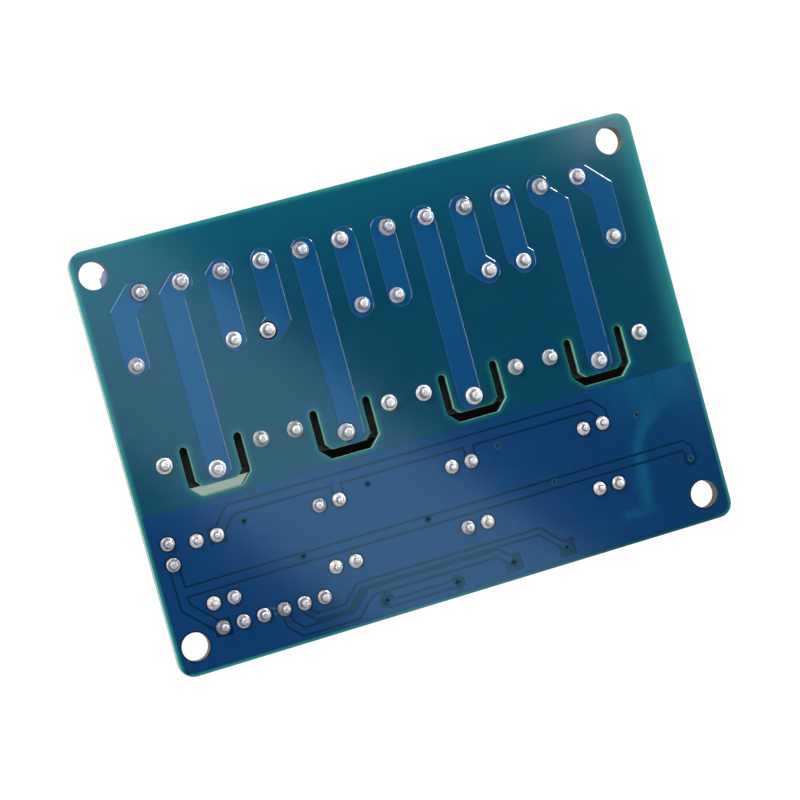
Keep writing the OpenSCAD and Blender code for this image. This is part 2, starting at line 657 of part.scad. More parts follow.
module jumper_cap() color("#c9b200") below()
    translate([jumper_x, jumper_y + header_pitch / 2, strip_h + 0.1]) difference() {
        union() {
            slab(cap_w, 2 * header_pitch - 0.2, 0, cap_h - 1);
            slab(cap_w - 0.5, 2 * header_pitch - 0.8, 0, cap_h + 0.4);
        }
        for (s = [-1, 1]) translate([0, s * header_pitch / 2, 0])
            slab(header_pin + 0.1, header_pin + 0.1, -1, header_free + 0.05);
    }

// ---- small parts ---------------------------------------------------------

// Columns to the right of each optocoupler: chips, then the transistor, then the diode
chip_dx = opto[0] / 2 + chip_gap + chip[0] / 2;
sot_dx = chip_dx + chip[0] / 2 + chip_gap + sot[0] / 2;
diode_dx = sot_dx + sot[0] / 2 + part_gap + diode[1] / 2;
chip_dy = chip[1] + part_gap;
// Spot of the supply resistor, with its lamp below it
supply_spot = [header(header_n - 1)[0] + header_pitch / 2 + lamp[0] + chip_gap, header_y];

// Chip with its length along X
module block_chip(s) slab(s[0], s[1], 0, s[2]);

module chip_resistors() color("#24262a") below()
    at(concat([supply_spot], [for (i = [0:relays - 1], j = [0, 1]) [opto_x(i) + chip_dx, opto_y + j * chip_dy]]))
        block_chip(chip);

module status_lamps() color("#d9e4dc") below()
    at(concat([supply_spot - [0, chip_dy]], [for (i = [0:relays - 1]) [opto_x(i) + chip_dx, opto_y - chip_dy]])) {
        block_chip([lamp[0], lamp[1], lamp[2] / 2]);
        slab(lamp[0] - 0.7, lamp[1], 0, lamp[2]);
    }

module flyback_diodes() color("#1d1f22") below() for (i = [0:relays - 1])
    translate([opto_x(i) + diode_dx, opto_y, 0]) {
        translate([0, 0, lead_t - 0.15]) along_x(diode[1]) polygon([
            [-diode[0] / 2 + 0.15, 0], [diode[0] / 2 - 0.15, 0], [diode[0] / 2, diode[2] / 2],
            [diode[0] / 2 - 0.2, diode[2]], [-diode[0] / 2 + 0.2, diode[2]], [-diode[0] / 2, diode[2] / 2]
        ]);
        slab(0.54 * diode[1], diode[0] + 0.9, 0, lead_t);
    }

module driver_transistors() color("#1d1f22") below() for (i = [0:relays - 1])
    translate([opto_x(i) + sot_dx, opto_y, 0]) {
        slab(sot[0], sot[1], lead_t - 0.15, sot[2] + 0.1);
        for (p = [[-0.95, -1], [0.95, -1], [0, 1]]) translate([p[0], p[1] * (sot[1] + 0.5) / 2, 0])
            slab(0.4, 0.8, 0, lead_t);
    }

// ---- assembly ------------------------------------------------------------

circuit_board();
ground_plane();
power_tracks();
signal_traces();
solder_terminals();
solder_relays();
solder_small();
relay_cover(0);  // relay_1_cover
relay_cover(1);  // relay_2_cover
relay_cover(2);  // relay_3_cover
relay_cover(3);  // relay_4_cover
relay_base(0);  // relay_1_base
relay_base(1);  // relay_2_base
relay_base(2);  // relay_3_base
relay_base(3);  // relay_4_base
relay_pins();
terminal_housing(0);  // terminal_1_housing
terminal_housing(1);  // terminal_2_housing
terminal_housing(2);  // terminal_3_housing
terminal_housing(3);  // terminal_4_housing
terminal_contacts(0);  // terminal_1_contacts
terminal_contacts(1);  // terminal_2_contacts
terminal_contacts(2);  // terminal_3_contacts
terminal_contacts(3);  // terminal_4_contacts
screw(0);  // screw_01
screw(1);  // screw_02
screw(2);  // screw_03
screw(3);  // screw_04
screw(4);  // screw_05
screw(5);  // screw_06
screw(6);  // screw_07
screw(7);  // screw_08
screw(8);  // screw_09
screw(9);  // screw_10
screw(10);  // screw_11
screw(11);  // screw_12
clamp(0);  // clamp_01
clamp(1);  // clamp_02
clamp(2);  // clamp_03
clamp(3);  // clamp_04
clamp(4);  // clamp_05
clamp(5);  // clamp_06
clamp(6);  // clamp_07
clamp(7);  // clamp_08
clamp(8);  // clamp_09
clamp(9);  // clamp_10
clamp(10);  // clamp_11
clamp(11);  // clamp_12
optocouplers();
optocoupler_leads();
input_header();
input_header_pins();
jumper_header();
jumper_header_pins();
jumper_cap();
status_lamps();
chip_resistors();
flyback_diodes();
driver_transistors();
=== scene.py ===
"""Looks of a four-way relay module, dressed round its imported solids.

The board lies solder side up on the tops of its relays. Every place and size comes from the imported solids,
in metres. Each sub-assembly is a class that builds its pieces and dresses them.
"""

import json
import logging
import math
import random
from collections.abc import Callable, Iterator
from contextlib import contextmanager
from dataclasses import dataclass, field
from enum import Enum

import bmesh
import bpy
from mathutils import Euler, Matrix, Vector


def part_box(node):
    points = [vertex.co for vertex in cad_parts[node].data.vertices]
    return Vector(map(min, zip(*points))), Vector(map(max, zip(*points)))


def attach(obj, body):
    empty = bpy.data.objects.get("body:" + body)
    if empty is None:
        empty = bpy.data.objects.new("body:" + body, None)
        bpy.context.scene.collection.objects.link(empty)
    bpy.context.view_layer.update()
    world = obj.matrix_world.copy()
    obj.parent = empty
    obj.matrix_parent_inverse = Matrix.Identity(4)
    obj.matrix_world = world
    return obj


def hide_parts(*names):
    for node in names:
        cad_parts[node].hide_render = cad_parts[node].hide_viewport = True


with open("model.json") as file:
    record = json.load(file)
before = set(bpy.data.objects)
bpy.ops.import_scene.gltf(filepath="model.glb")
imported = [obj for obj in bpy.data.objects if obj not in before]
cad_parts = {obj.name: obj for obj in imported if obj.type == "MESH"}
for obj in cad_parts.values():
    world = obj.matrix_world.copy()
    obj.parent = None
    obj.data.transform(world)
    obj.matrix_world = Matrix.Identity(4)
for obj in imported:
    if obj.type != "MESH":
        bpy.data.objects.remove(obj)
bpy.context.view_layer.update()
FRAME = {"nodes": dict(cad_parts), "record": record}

log = logging.getLogger("relay_module")

MM = 0.001
MERGE = 0.001 * MM
MAIN_BODY = "board_assembly"
RELAYS = 4
BLOCKS = 4
WAYS = 12
JOINT_NODES = ("solder_terminals", "solder_relays", "solder_small")

Colour = tuple[float, float, float]
Point = tuple[float, float, float]
Socket = bpy.types.NodeSocket
Piece = bpy.types.Object
Material = bpy.types.Material


# ---- bench: operators by hand --------------------------------------------------------


class Bench:
    """The hand tools: selecting, editing, copying and finishing pieces."""

    @staticmethod
    def clear() -> None:
        """Deselects everything and leaves edit mode."""
        if bpy.context.object and bpy.context.object.mode != "OBJECT":
            bpy.ops.object.mode_set(mode="OBJECT")
        bpy.ops.object.select_all(action="DESELECT")

    @staticmethod
    def hold(obj: Piece) -> Piece:
        """Makes one object the only selected and the active one.

        Args:
            obj: The object to hold.

        Returns:
            The same object.
        """
        Bench.clear()
        obj.select_set(True)
        bpy.context.view_layer.objects.active = obj
        return obj

    @staticmethod
    @contextmanager
    def edit(obj: Piece) -> Iterator[Piece]:
        """Opens an object in edit mode for a while.

        Args:
            obj: The object to edit.

        Yields:
            The same object, in edit mode with all of it selected.
        """
        Bench.hold(obj)
        bpy.ops.object.mode_set(mode="EDIT")
        bpy.ops.mesh.select_all(action="SELECT")
        yield obj
        bpy.ops.object.mode_set(mode="OBJECT")

    @staticmethod
    def pick_faces(obj: Piece, wanted: Callable[[Vector, Vector], bool]) -> int:
        """Selects faces in edit mode by their middle and normal.

        Args:
            obj: The object in edit mode.
            wanted: Says of a middle and a normal whether the face is wanted.

        Returns:
            How many faces were selected.
        """
        bpy.ops.mesh.select_mode(type="FACE")
        shape = bmesh.from_edit_mesh(obj.data)
        for face in shape.faces:
            face.select_set(wanted(face.calc_center_median(), face.normal))
        bmesh.update_edit_mesh(obj.data)
        return sum(face.select for face in shape.faces)

    @staticmethod
    def pick_edges(obj: Piece, wanted: Callable[[bmesh.types.BMEdge], bool]) -> int:
        """Selects edges in edit mode.

        Args:
            obj: The object in edit mode.
            wanted: Says of an edge whether it is wanted.

        Returns:
            How many edges were selected.
        """
        bpy.ops.mesh.select_mode(type="EDGE")
        bpy.ops.mesh.select_all(action="DESELECT")
        shape = bmesh.from_edit_mesh(obj.data)
        shape.normal_update()
        for edge in shape.edges:
            edge.select_set(wanted(edge))
        bmesh.update_edit_mesh(obj.data)
        return sum(edge.select for edge in shape.edges)

    @staticmethod
    def apply(obj: Piece, kind: str, **settings: object) -> None:
        """Adds a modifier, sets it and applies it.

        Args:
            obj: The object it is for.
            kind: The modifier's type.
            settings: The modifier's own settings.
        """
        Bench.hold(obj)
        modifier = obj.modifiers.new(kind.title(), kind)
        for name, value in settings.items():
            setattr(modifier, name, value)
        bpy.ops.object.modifier_apply(modifier=modifier.name)

    @staticmethod
    def settle(obj: Piece) -> None:
        """Puts an object's place, turn and scale into its mesh."""
        Bench.hold(obj)
        bpy.ops.object.transform_apply(location=True, rotation=True, scale=True)

    @staticmethod
    def smooth(obj: Piece, degrees: float = 35.0) -> None:
        """Shades an object smooth, apart from edges sharper than an angle."""
        Bench.hold(obj)
        bpy.ops.object.shade_smooth_by_angle(angle=math.radians(degrees))

    @staticmethod
    def level(obj: Piece, degrees: float = 35.0) -> None:
        """Shades an object smooth, with its large faces kept flat up to their rounded edges."""
        Bench.smooth(obj, degrees)
        Bench.apply(obj, "WEIGHTED_NORMAL", mode="FACE_AREA", weight=100, keep_sharp=True)

    @staticmethod
    def twin(source: Piece, place: Vector, turn: float = 0.0, size: float = 1.0) -> Piece:
        """Copies a model piece with its own mesh, then turns it about Z and moves it.

        Args:
            source: The model piece, about the origin.
            place: Where the copy goes.
            turn: Its turn about Z, in radians.
            size: Its scale across.

        Returns:
            The copy.
        """
        mesh = source.data.copy()
        grow = Matrix.Diagonal((size, size, 1.0, 1.0))
        mesh.transform(Matrix.Translation(place) @ Matrix.Rotation(turn, 4, "Z") @ grow)
        obj = bpy.data.objects.new(source.name + "_copy", mesh)
        bpy.context.scene.collection.objects.link(obj)
        return obj

    @staticmethod
    def join(parts: list[Piece], name: str) -> Piece:
        """Joins parts into one object.

        Args:
            parts: The parts.
            name: The name of the whole.

        Returns:
            The whole.
        """
        Bench.hold(parts[0])
        for part in parts:
            part.select_set(True)
        if len(parts) > 1:
            bpy.ops.object.join()
        joined = bpy.context.view_layer.objects.active
        joined.name = name
        joined.data.name = name
        return joined

    @staticmethod
    def merged(node: str, name: str) -> Piece:
        """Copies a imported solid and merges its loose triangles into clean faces.

        Args:
            node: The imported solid's name.
            name: The copy's name.

        Returns:
            The copy, without materials.
        """
        mesh = FRAME["nodes"][node].data.copy()
        mesh.materials.clear()
        obj = bpy.data.objects.new(name, mesh)
        mesh.name = name
        bpy.context.scene.collection.objects.link(obj)
        Bench.hold(obj)
        if mesh.has_custom_normals:
            bpy.ops.mesh.customdata_custom_splitnormals_clear()
        with Bench.edit(obj):
            bpy.ops.mesh.remove_doubles(threshold=MERGE)
            bpy.ops.mesh.dissolve_limited(angle_limit=math.radians(0.6))
        return obj

    @staticmethod
    def softened(node: str, name: str, width: float, segments: int = 2) -> Piece:
        """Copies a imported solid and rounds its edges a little.

        Args:
            node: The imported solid's name.
            name: The copy's name.
            width: Width of the rounding.
            segments: Steps across the rounding.

        Returns:
            The copy.
        """
        obj = Bench.merged(node, name)
        Bench.apply(
            obj, "BEVEL", width=width, segments=segments, limit_method="ANGLE",
            angle_limit=math.radians(32.0), use_clamp_overlap=True, miter_outer="MITER_ARC",
        )
        Bench.level(obj)
        return obj

    @staticmethod
    def ring(radius: float, height: float, sides: int, name: str) -> Piece:
        """Adds a flat filled round at a height about the Z axis.

        Args:
            radius: Its radius.
            height: Its height.
            sides: Its number of corners.
            name: Its name.

        Returns:
            The new object.
        """
        Bench.clear()
        bpy.ops.mesh.primitive_circle_add(
            vertices=sides, radius=radius, fill_type="NGON", location=(0, 0, height)
        )
        obj = bpy.context.object
        obj.name = name
        Bench.settle(obj)
        return obj

    @staticmethod
    def raise_rings(obj: Piece, steps: list[tuple[float, float]]) -> None:
        """Extrudes the top face of a round upwards through rings of given radius and height.

        Args:
            obj: A filled round about the Z axis.
            steps: Radius and height of each further ring, outwards or inwards.
        """
        with Bench.edit(obj):
            Bench.pick_faces(obj, lambda middle, normal: True)
            shape = bmesh.from_edit_mesh(obj.data)
            radius = max(v.co.xy.length for v in shape.verts)
            height = max(v.co.z for v in shape.verts)
            for wide, high in steps:
                bpy.ops.mesh.extrude_region_move(TRANSFORM_OT_translate={"value": (0, 0, high - height)})
                spread = (wide / radius, wide / radius, 1)
                bpy.ops.transform.resize(value=spread, center_override=(0, 0, high), orient_type="GLOBAL")
                radius, height = wide, high


@dataclass
class Solid:
    """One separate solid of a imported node, by its box."""

    low: Vector
    high: Vector

    @property
    def middle(self) -> Vector:
        """The middle of its box."""
        return (self.low + self.high) / 2

    @property
    def width(self) -> float:
        """Its size along X."""
        return self.high.x - self.low.x


def solids_of(node: str) -> list[Solid]:
    """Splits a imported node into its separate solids.

    Args:
        node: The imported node's name.

    Returns:
        Its solids, sorted from left to right.
    """
    shape = bmesh.new()
    shape.from_mesh(FRAME["nodes"][node].data)
    bmesh.ops.remove_doubles(shape, verts=shape.verts, dist=MERGE)
    seen: set[bmesh.types.BMVert] = set()
    found = []
    for start in shape.verts:
        if start in seen:
            continue
        seen.add(start)
        queue, group = [start], []
        while queue:
            vert = queue.pop()
            group.append(vert.co)
            for edge in vert.link_edges:
                other = edge.other_vert(vert)
                if other not in seen:
                    seen.add(other)
                    queue.append(other)
        low = Vector([min(c[i] for c in group) for i in range(3)])
        high = Vector([max(c[i] for c in group) for i in range(3)])
        found.append(Solid(low, high))
    shape.free()
    return sorted(found, key=lambda s: (round(s.middle.x, 5), s.middle.y))


def joint_middles(*nodes: str) -> list[Vector]:
    """The middles of all solder joints of those nodes."""
    return [solid.middle for node in nodes for solid in solids_of(node)]


def near(point: Vector, places: list[Vector], reach: float) -> bool:
    """Whether a point lies within reach of one of the places, seen from above."""
    return any((point.xy - place.xy).length < reach for place in places)


def on_level_rim(edge: bmesh.types.BMEdge, heights: tuple[float, ...]) -> bool:
    """Tells the rims of level faces from other edges.

    Args:
        edge: The edge.
        heights: The heights of the level faces.

    Returns:
        Whether the edge runs at one of the heights, between two faces that meet sharply.
    """
    a, b = (vert.co for vert in edge.verts)
    if abs(a.z - b.z) > MERGE or min(abs(a.z - height) for height in heights) > MERGE:
        return False
    if len(edge.link_faces) != 2:
        return False
    first, second = edge.link_faces
    return abs(first.normal.dot(second.normal)) < 0.5


def finish(obj: Piece, body: str, slot: str, *replaced: str) -> Piece:
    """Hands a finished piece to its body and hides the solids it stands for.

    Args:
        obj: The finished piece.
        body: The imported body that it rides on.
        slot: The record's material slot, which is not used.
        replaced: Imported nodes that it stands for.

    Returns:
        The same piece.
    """
    Bench.clear()
    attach(obj, body)
    if replaced:
        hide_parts(*replaced)
    return obj


def dress(node: str, name: str, edge: tuple[float, int], slot: str, material: Material,
          body: str = MAIN_BODY) -> Piece:
    """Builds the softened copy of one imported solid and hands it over.

    Args:
        node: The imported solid's name.
        name: The piece's name.
        edge: Width and steps of its rounded edges.
        slot: The record's material slot.
        material: Its material.
        body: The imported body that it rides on.

    Returns:
        The piece.
    """
    obj = Bench.softened(node, name, *edge)
    obj.data.materials.append(material)
    return finish(obj, body, slot, node)


# ---- paint: node materials -----------------------------------------------------------


class Paint:
    """A node material under work, with short names for the nodes it is made of."""

    def __init__(self, name: str) -> None:
        """Starts a material with one Principled shader.

        Args:
            name: The material's name.
        """
        self.material = bpy.data.materials.new(name)
        self.material.use_nodes = True
        self.tree = self.material.node_tree
        self.tree.nodes.clear()
        self.shader = self.tree.nodes.new("ShaderNodeBsdfPrincipled")
        out = self.tree.nodes.new("ShaderNodeOutputMaterial")
        self.tree.links.new(self.shader.outputs["BSDF"], out.inputs["Surface"])
        self.place = self.tree.nodes.new("ShaderNodeTexCoord").outputs["Object"]

    def set(self, **values: object) -> "Paint":
        """Sets inputs of the shader.

        Args:
            values: Numbers, colours or outputs by socket name, with underscores for spaces.

        Returns:
            The same material under work.
        """
        for name, value in values.items():
            self._put(self.shader.inputs[name.replace("_", " ")], value)
        return self

    def _put(self, socket: Socket, value: object) -> None:
        """Links an output to a socket, or sets the socket to a number or colour.

        Args:
            socket: The socket.
            value: A number, a colour, a vector or an output.
        """
        if isinstance(value, Socket):
            self.tree.links.new(value, socket)
        elif isinstance(value, tuple) and len(socket.default_value) == 4:
            socket.default_value = (*value, 1.0)
        else:
            socket.default_value = value

    def _add(self, kind: str, **inputs: object) -> bpy.types.ShaderNode:
        """Adds a node and sets its inputs.

        Args:
            kind: Its type, without the word ShaderNode.
            inputs: Numbers, colours or outputs by socket name, with underscores for spaces.

        Returns:
            The node.
        """
        node = self.tree.nodes.new("ShaderNode" + kind)
        for name, value in inputs.items():
            self._put(node.inputs[name.replace("_", " ")], value)
        return node

    def math(self, operation: str, *values: object, clamp: bool = False) -> Socket:
        """Adds a Math node.

        Args:
            operation: Its operation.
            values: Its inputs.
            clamp: Whether its result is kept from 0 to 1.

        Returns:
            Its output.
        """
        node = self.tree.nodes.new("ShaderNodeMath")
        node.operation = operation
        node.use_clamp = clamp
        for socket, value in zip(node.inputs, values):
            self._put(socket, value)
        return node.outputs[0]

    def ramp(self, value: object, low: float, high: float) -> Socket:
        """Maps a value smoothly from 0 at low to 1 at high.

        Args:
            value: The value.
            low: Where the result is 0.
            high: Where it is 1, above or below low.

        Returns:
            Its output.
        """
        node = self._add("MapRange", Value=value, From_Min=low, From_Max=high)
        node.interpolation_type = "SMOOTHSTEP"
        return node.outputs["Result"]

    def mix(self, share: object, first: object, second: object) -> Socket:
        """Mixes two colours.

        Args:
            share: The share of the second colour.
            first: The colour at share 0.
            second: The colour at share 1.

        Returns:
            Its output.
        """
        node = self._add("Mix")
        node.data_type = "RGBA"
        colours = [socket for socket in node.inputs if socket.type == "RGBA"]
        for socket, value in zip((node.inputs[0], *colours), (share, first, second)):
            self._put(socket, value)
        return next(socket for socket in node.outputs if socket.type == "RGBA")

    def noise(self, scale: float, detail: float = 3.0, rough: float = 0.5, at: Socket | None = None
              ) -> Socket:
        """Adds a noise of that many waves to a metre, and returns its value."""
        node = self._add("TexNoise", Vector=at or self.place, Scale=scale, Detail=detail, Roughness=rough)
        return node.outputs["Fac"]

    def cells(self, scale: float) -> Socket:
        """Adds a cell pattern and returns the distance to its points."""
        return self._add("TexVoronoi", Vector=self.place, Scale=scale).outputs["Distance"]

    def stretched(self, scale: Point) -> Socket:
        """The object's coordinates, each times a factor."""
        return self._add("Mapping", Vector=self.place, Scale=scale).outputs["Vector"]

    def axes(self) -> tuple[Socket, Socket, Socket]:
        """The object's coordinates along X, Y and Z, in metres."""
        return tuple(self._add("SeparateXYZ", Vector=self.place).outputs)

    def bump(self, height: Socket, strength: float, depth: float) -> "Paint":
        """Puts a bump of that depth, in metres, under the shader."""
        bump = self._add("Bump", Strength=strength, Distance=depth, Height=height)
        return self.set(Normal=bump.outputs["Normal"])


@dataclass(frozen=True)
class Plastic:
    """A moulded plastic, with a faint mottle and the skin of its mould."""

    name: str
    colour: Colour
    dark: Colour
    roughness: float = 0.4
    grain: float = 9000.0
    depth: float = 0.006 * MM

    def material(self) -> Material:
        """Builds the material.

        Returns:
            The material.
        """
        paint = Paint(self.name)
        mottle = paint.ramp(paint.noise(260.0, 4.0, 0.6), 0.35, 0.7)
        grain = paint.noise(self.grain, 2.0, 0.6)
        sheen = paint.math("MULTIPLY_ADD", paint.noise(700.0, 3.0), 0.16, self.roughness - 0.08)
        paint.set(Base_Color=paint.mix(mottle, self.colour, self.dark), Roughness=sheen)
        return paint.bump(grain, 0.35, self.depth).material


@dataclass(frozen=True)
class Metal:
    """A plated or drawn metal, with streaks along its length and a stain here and there."""

    name: str
    colour: Colour
    stain: Colour
    roughness: float = 0.3
    streak: Point = (1.0, 1.0, 12.0)
    depth: float = 0.004 * MM

    def material(self) -> Material:
        """Builds the material.

        Returns:
            The material.
        """
        paint = Paint(self.name)
        streaks = paint.noise(2500.0, 3.0, 0.6, at=paint.stretched(self.streak))
        blotch = paint.ramp(paint.noise(900.0, 4.0, 0.65), 0.48, 0.78)
        rough = paint.math("MULTIPLY_ADD", streaks, 0.25, self.roughness - 0.12)
        paint.set(Base_Color=paint.mix(blotch, self.colour, self.stain), Roughness=rough, Metallic=1.0)
        return paint.bump(streaks, 0.3, self.depth).material


@dataclass(frozen=True)
class Solder:
    """Hand-bright solder: whitish silver with dull clouds, small craters and flux in its hollows."""

    name: str = "bright_solder"
    bright: Colour = (0.71, 0.695, 0.71)
    dull: Colour = (0.47, 0.45, 0.465)
    flux: Colour = (0.20, 0.16, 0.15)

    def material(self) -> Material:
        """Builds the material.

        Returns:
            The material.
        """
        paint = Paint(self.name)
        clouds = paint.ramp(paint.noise(1300.0, 5.0, 0.65), 0.38, 0.66)
        metal = paint.mix(clouds, self.bright, self.dull)
        specks = paint.ramp(paint.noise(2700.0, 4.0, 0.7), 0.58, 0.70)
        colour = paint.mix(paint.math("MULTIPLY", specks, 0.7), metal, self.flux)
        rough = paint.math("MULTIPLY_ADD", clouds, 0.14, 0.35)
        paint.set(Base_Color=colour, Roughness=rough, Metallic=0.95)
        dents = paint.math("ADD", paint.noise(1700.0, 5.0, 0.7), paint.math("MULTIPLY", specks, -0.5))
        return paint.bump(dents, 0.6, 0.16 * MM).material


@dataclass(frozen=True)
class Lamp:
    """The clear cast resin of an indicator lamp, slightly milky."""

    name: str = "lamp_resin"
    colour: Colour = (0.80, 0.86, 0.74)
    milky: Colour = (0.62, 0.72, 0.50)

    def material(self) -> Material:
        """Builds the material.

        Returns:
            The material.
        """
        paint = Paint(self.name)
        milk = paint.ramp(paint.noise(1800.0, 3.0), 0.3, 0.7)
        rough = paint.math("MULTIPLY_ADD", milk, 0.12, 0.12)
        paint.set(Base_Color=paint.mix(milk, self.colour, self.milky), Roughness=rough)
        paint.set(Transmission_Weight=0.35, Subsurface_Weight=0.2, Subsurface_Scale=0.4 * MM, IOR=1.5)
        return paint.bump(milk, 0.2, 0.01 * MM).material


@dataclass(frozen=True)
class MaskWithPaintedLight:
    """Solder mask over bare laminate: teal, with painted light: lighter towards the top, and greener where
    light comes in at edges and slots.
    """

    name: str
    half_length: float
    half_width: float
    plane_top: float
    relay_x: tuple[float, ...]
    common_y: float
    # Painted light: the mask goes from deep to upper towards the top, and to rim and halo at the edges and
    # slots.
    deep: Colour = (0.0022, 0.0520, 0.1010)
    upper: Colour = (0.0034, 0.0930, 0.1500)
    rim: Colour = (0.0300, 0.3000, 0.2900)
    halo: Colour = (0.0080, 0.1650, 0.1450)
    sunk: Colour = (0.0010, 0.0255, 0.0640)
    rim_depth: float = 0.95 * MM
    right_depth: float = 3.6 * MM
    slot_leg: float = 3.35 * MM
    slot_reach: float = 3.0 * MM
    slot_foot: float = 2.1 * MM
    slot_chamfer: float = 1.05 * MM
    slot_fade: tuple[float, float] = (0.5 * MM, 1.25 * MM)
    slot_share: float = 0.55
    sunk_inset: float = 0.6 * MM
    right_share: float = 0.42
    swell_depth: float = 0.012 * MM

    def _rim(self, paint: Paint, x: Socket, y: Socket, depth: float) -> Socket:
        """How near a point is to the outline.

        Args:
            paint: The material under work.
            x: Its X.
            y: Its Y.
            depth: How far inside the outline it starts.

        Returns:
            The nearness, from 0 at that depth to 1 at the edge.
        """
        along = paint.ramp(paint.math("ABSOLUTE", x), self.half_length - depth, self.half_length)
        across = paint.ramp(paint.math("ABSOLUTE", y), self.half_width - depth, self.half_width)
        return paint.math("MAXIMUM", along, across)

    def _off_run(self, paint: Paint, across: Socket, along: Socket, half: float) -> Socket:
        """Distance from one straight run of a slot.

        Args:
            paint: The material under work.
            across: Distance across the run.
            along: Distance along the run from its middle.
            half: Half the run's length.

        Returns:
            The distance.
        """
        past = paint.math("MAXIMUM", paint.math("SUBTRACT", paint.math("ABSOLUTE", along), half), 0.0)
        square = paint.math("ADD", paint.math("POWER", past, 2.0), paint.math("POWER", across, 2.0))
        return paint.math("SQRT", square)

    def _slot_glow(self, paint: Paint, x: Socket, y: Socket) -> Socket:
        """How near a point is to one of the U-shaped slots.

        Args:
            paint: The material under work.
            x: Its X.
            y: Its Y.

        Returns:
            The nearness, from 0 away from the slots to 1 beside them.
        """
        u = None
        for middle in self.relay_x:
            off = paint.math("ABSOLUTE", paint.math("SUBTRACT", x, middle))
            u = off if u is None else paint.math("MINIMUM", u, off)
        v = paint.math("SUBTRACT", y, self.common_y)
        knee = self.slot_foot - self.slot_chamfer
        inner = self.slot_leg - self.slot_chamfer
        leg = self._off_run(
            paint, paint.math("SUBTRACT", u, self.slot_leg),
            paint.math("SUBTRACT", v, (self.slot_reach - knee) / 2), (self.slot_reach + knee) / 2,
        )
        foot = self._off_run(paint, paint.math("ADD", v, self.slot_foot), u, inner)
        du = paint.math("SUBTRACT", u, inner + self.slot_chamfer / 2)
        dv = paint.math("ADD", v, self.slot_foot - self.slot_chamfer / 2)
        slope = math.sqrt(0.5)
        corner = self._off_run(
            paint, paint.math("MULTIPLY", paint.math("SUBTRACT", du, dv), slope),
            paint.math("MULTIPLY", paint.math("ADD", du, dv), slope), self.slot_chamfer * slope,
        )
        nearest = paint.math("MINIMUM", paint.math("MINIMUM", leg, foot), corner)
        return paint.math("SUBTRACT", 1.0, paint.ramp(nearest, *self.slot_fade))

    def material(self) -> Material:
        """Builds the material.

        Returns:
            The material.
        """
        paint = Paint(self.name)
        x, y, _ = paint.axes()
        cloud = paint.noise(80.0, 4.0, 0.55)
        # Painted light: the mask is painted lighter towards its upper side.
        height = paint.ramp(y, 0.45 * self.half_width, 1.05 * self.half_width)
        lift = paint.math("MULTIPLY_ADD", height, 0.9, -0.12)
        tone = paint.math("MULTIPLY_ADD", cloud, 0.3, lift, clamp=True)
        base = paint.mix(tone, self.deep, self.upper)
        # Painted light: greener beside the slots, where light comes in.
        glow = paint.math("MULTIPLY", self._slot_glow(paint, x, y), self.slot_share)
        base = paint.mix(glow, base, self.halo)
        under = paint.ramp(y, self.plane_top + 0.05 * MM, self.plane_top - 0.05 * MM)
        inside = paint.math("SUBTRACT", 1.0, self._rim(paint, x, y, self.sunk_inset))
        base = paint.mix(paint.math("MULTIPLY", under, inside), base, self.sunk)
        # Painted light: the rim colour along the outline, strongest on the upper and left edges.
        rim = paint.math("POWER", self._rim(paint, x, y, self.rim_depth), 1.8)
        upper = paint.ramp(y, -1.1 * self.half_width, 0.4 * self.half_width)
        left = paint.ramp(x, 0.4 * self.half_length, -self.half_length)
        share = paint.math("MULTIPLY_ADD", paint.math("MAXIMUM", upper, left), 0.65, 0.15)
        base = paint.mix(paint.math("MULTIPLY", rim, share), base, self.rim)
        # Painted light: a wider band of the rim colour along the right end.
        right = paint.math("POWER", paint.ramp(x, self.half_length - self.right_depth, self.half_length), 1.3)
        base = paint.mix(paint.math("MULTIPLY", right, self.right_share), base, self.rim)
        rough = paint.math("MULTIPLY_ADD", paint.noise(500.0, 4.0), 0.08, 0.07)
        paint.set(Base_Color=base, Roughness=rough, IOR=1.5)
        swell = paint.math("ADD", paint.noise(240.0, 2.0), paint.math("MULTIPLY", paint.cells(2400.0), 0.05))
        return paint.bump(swell, 0.2, self.swell_depth).material


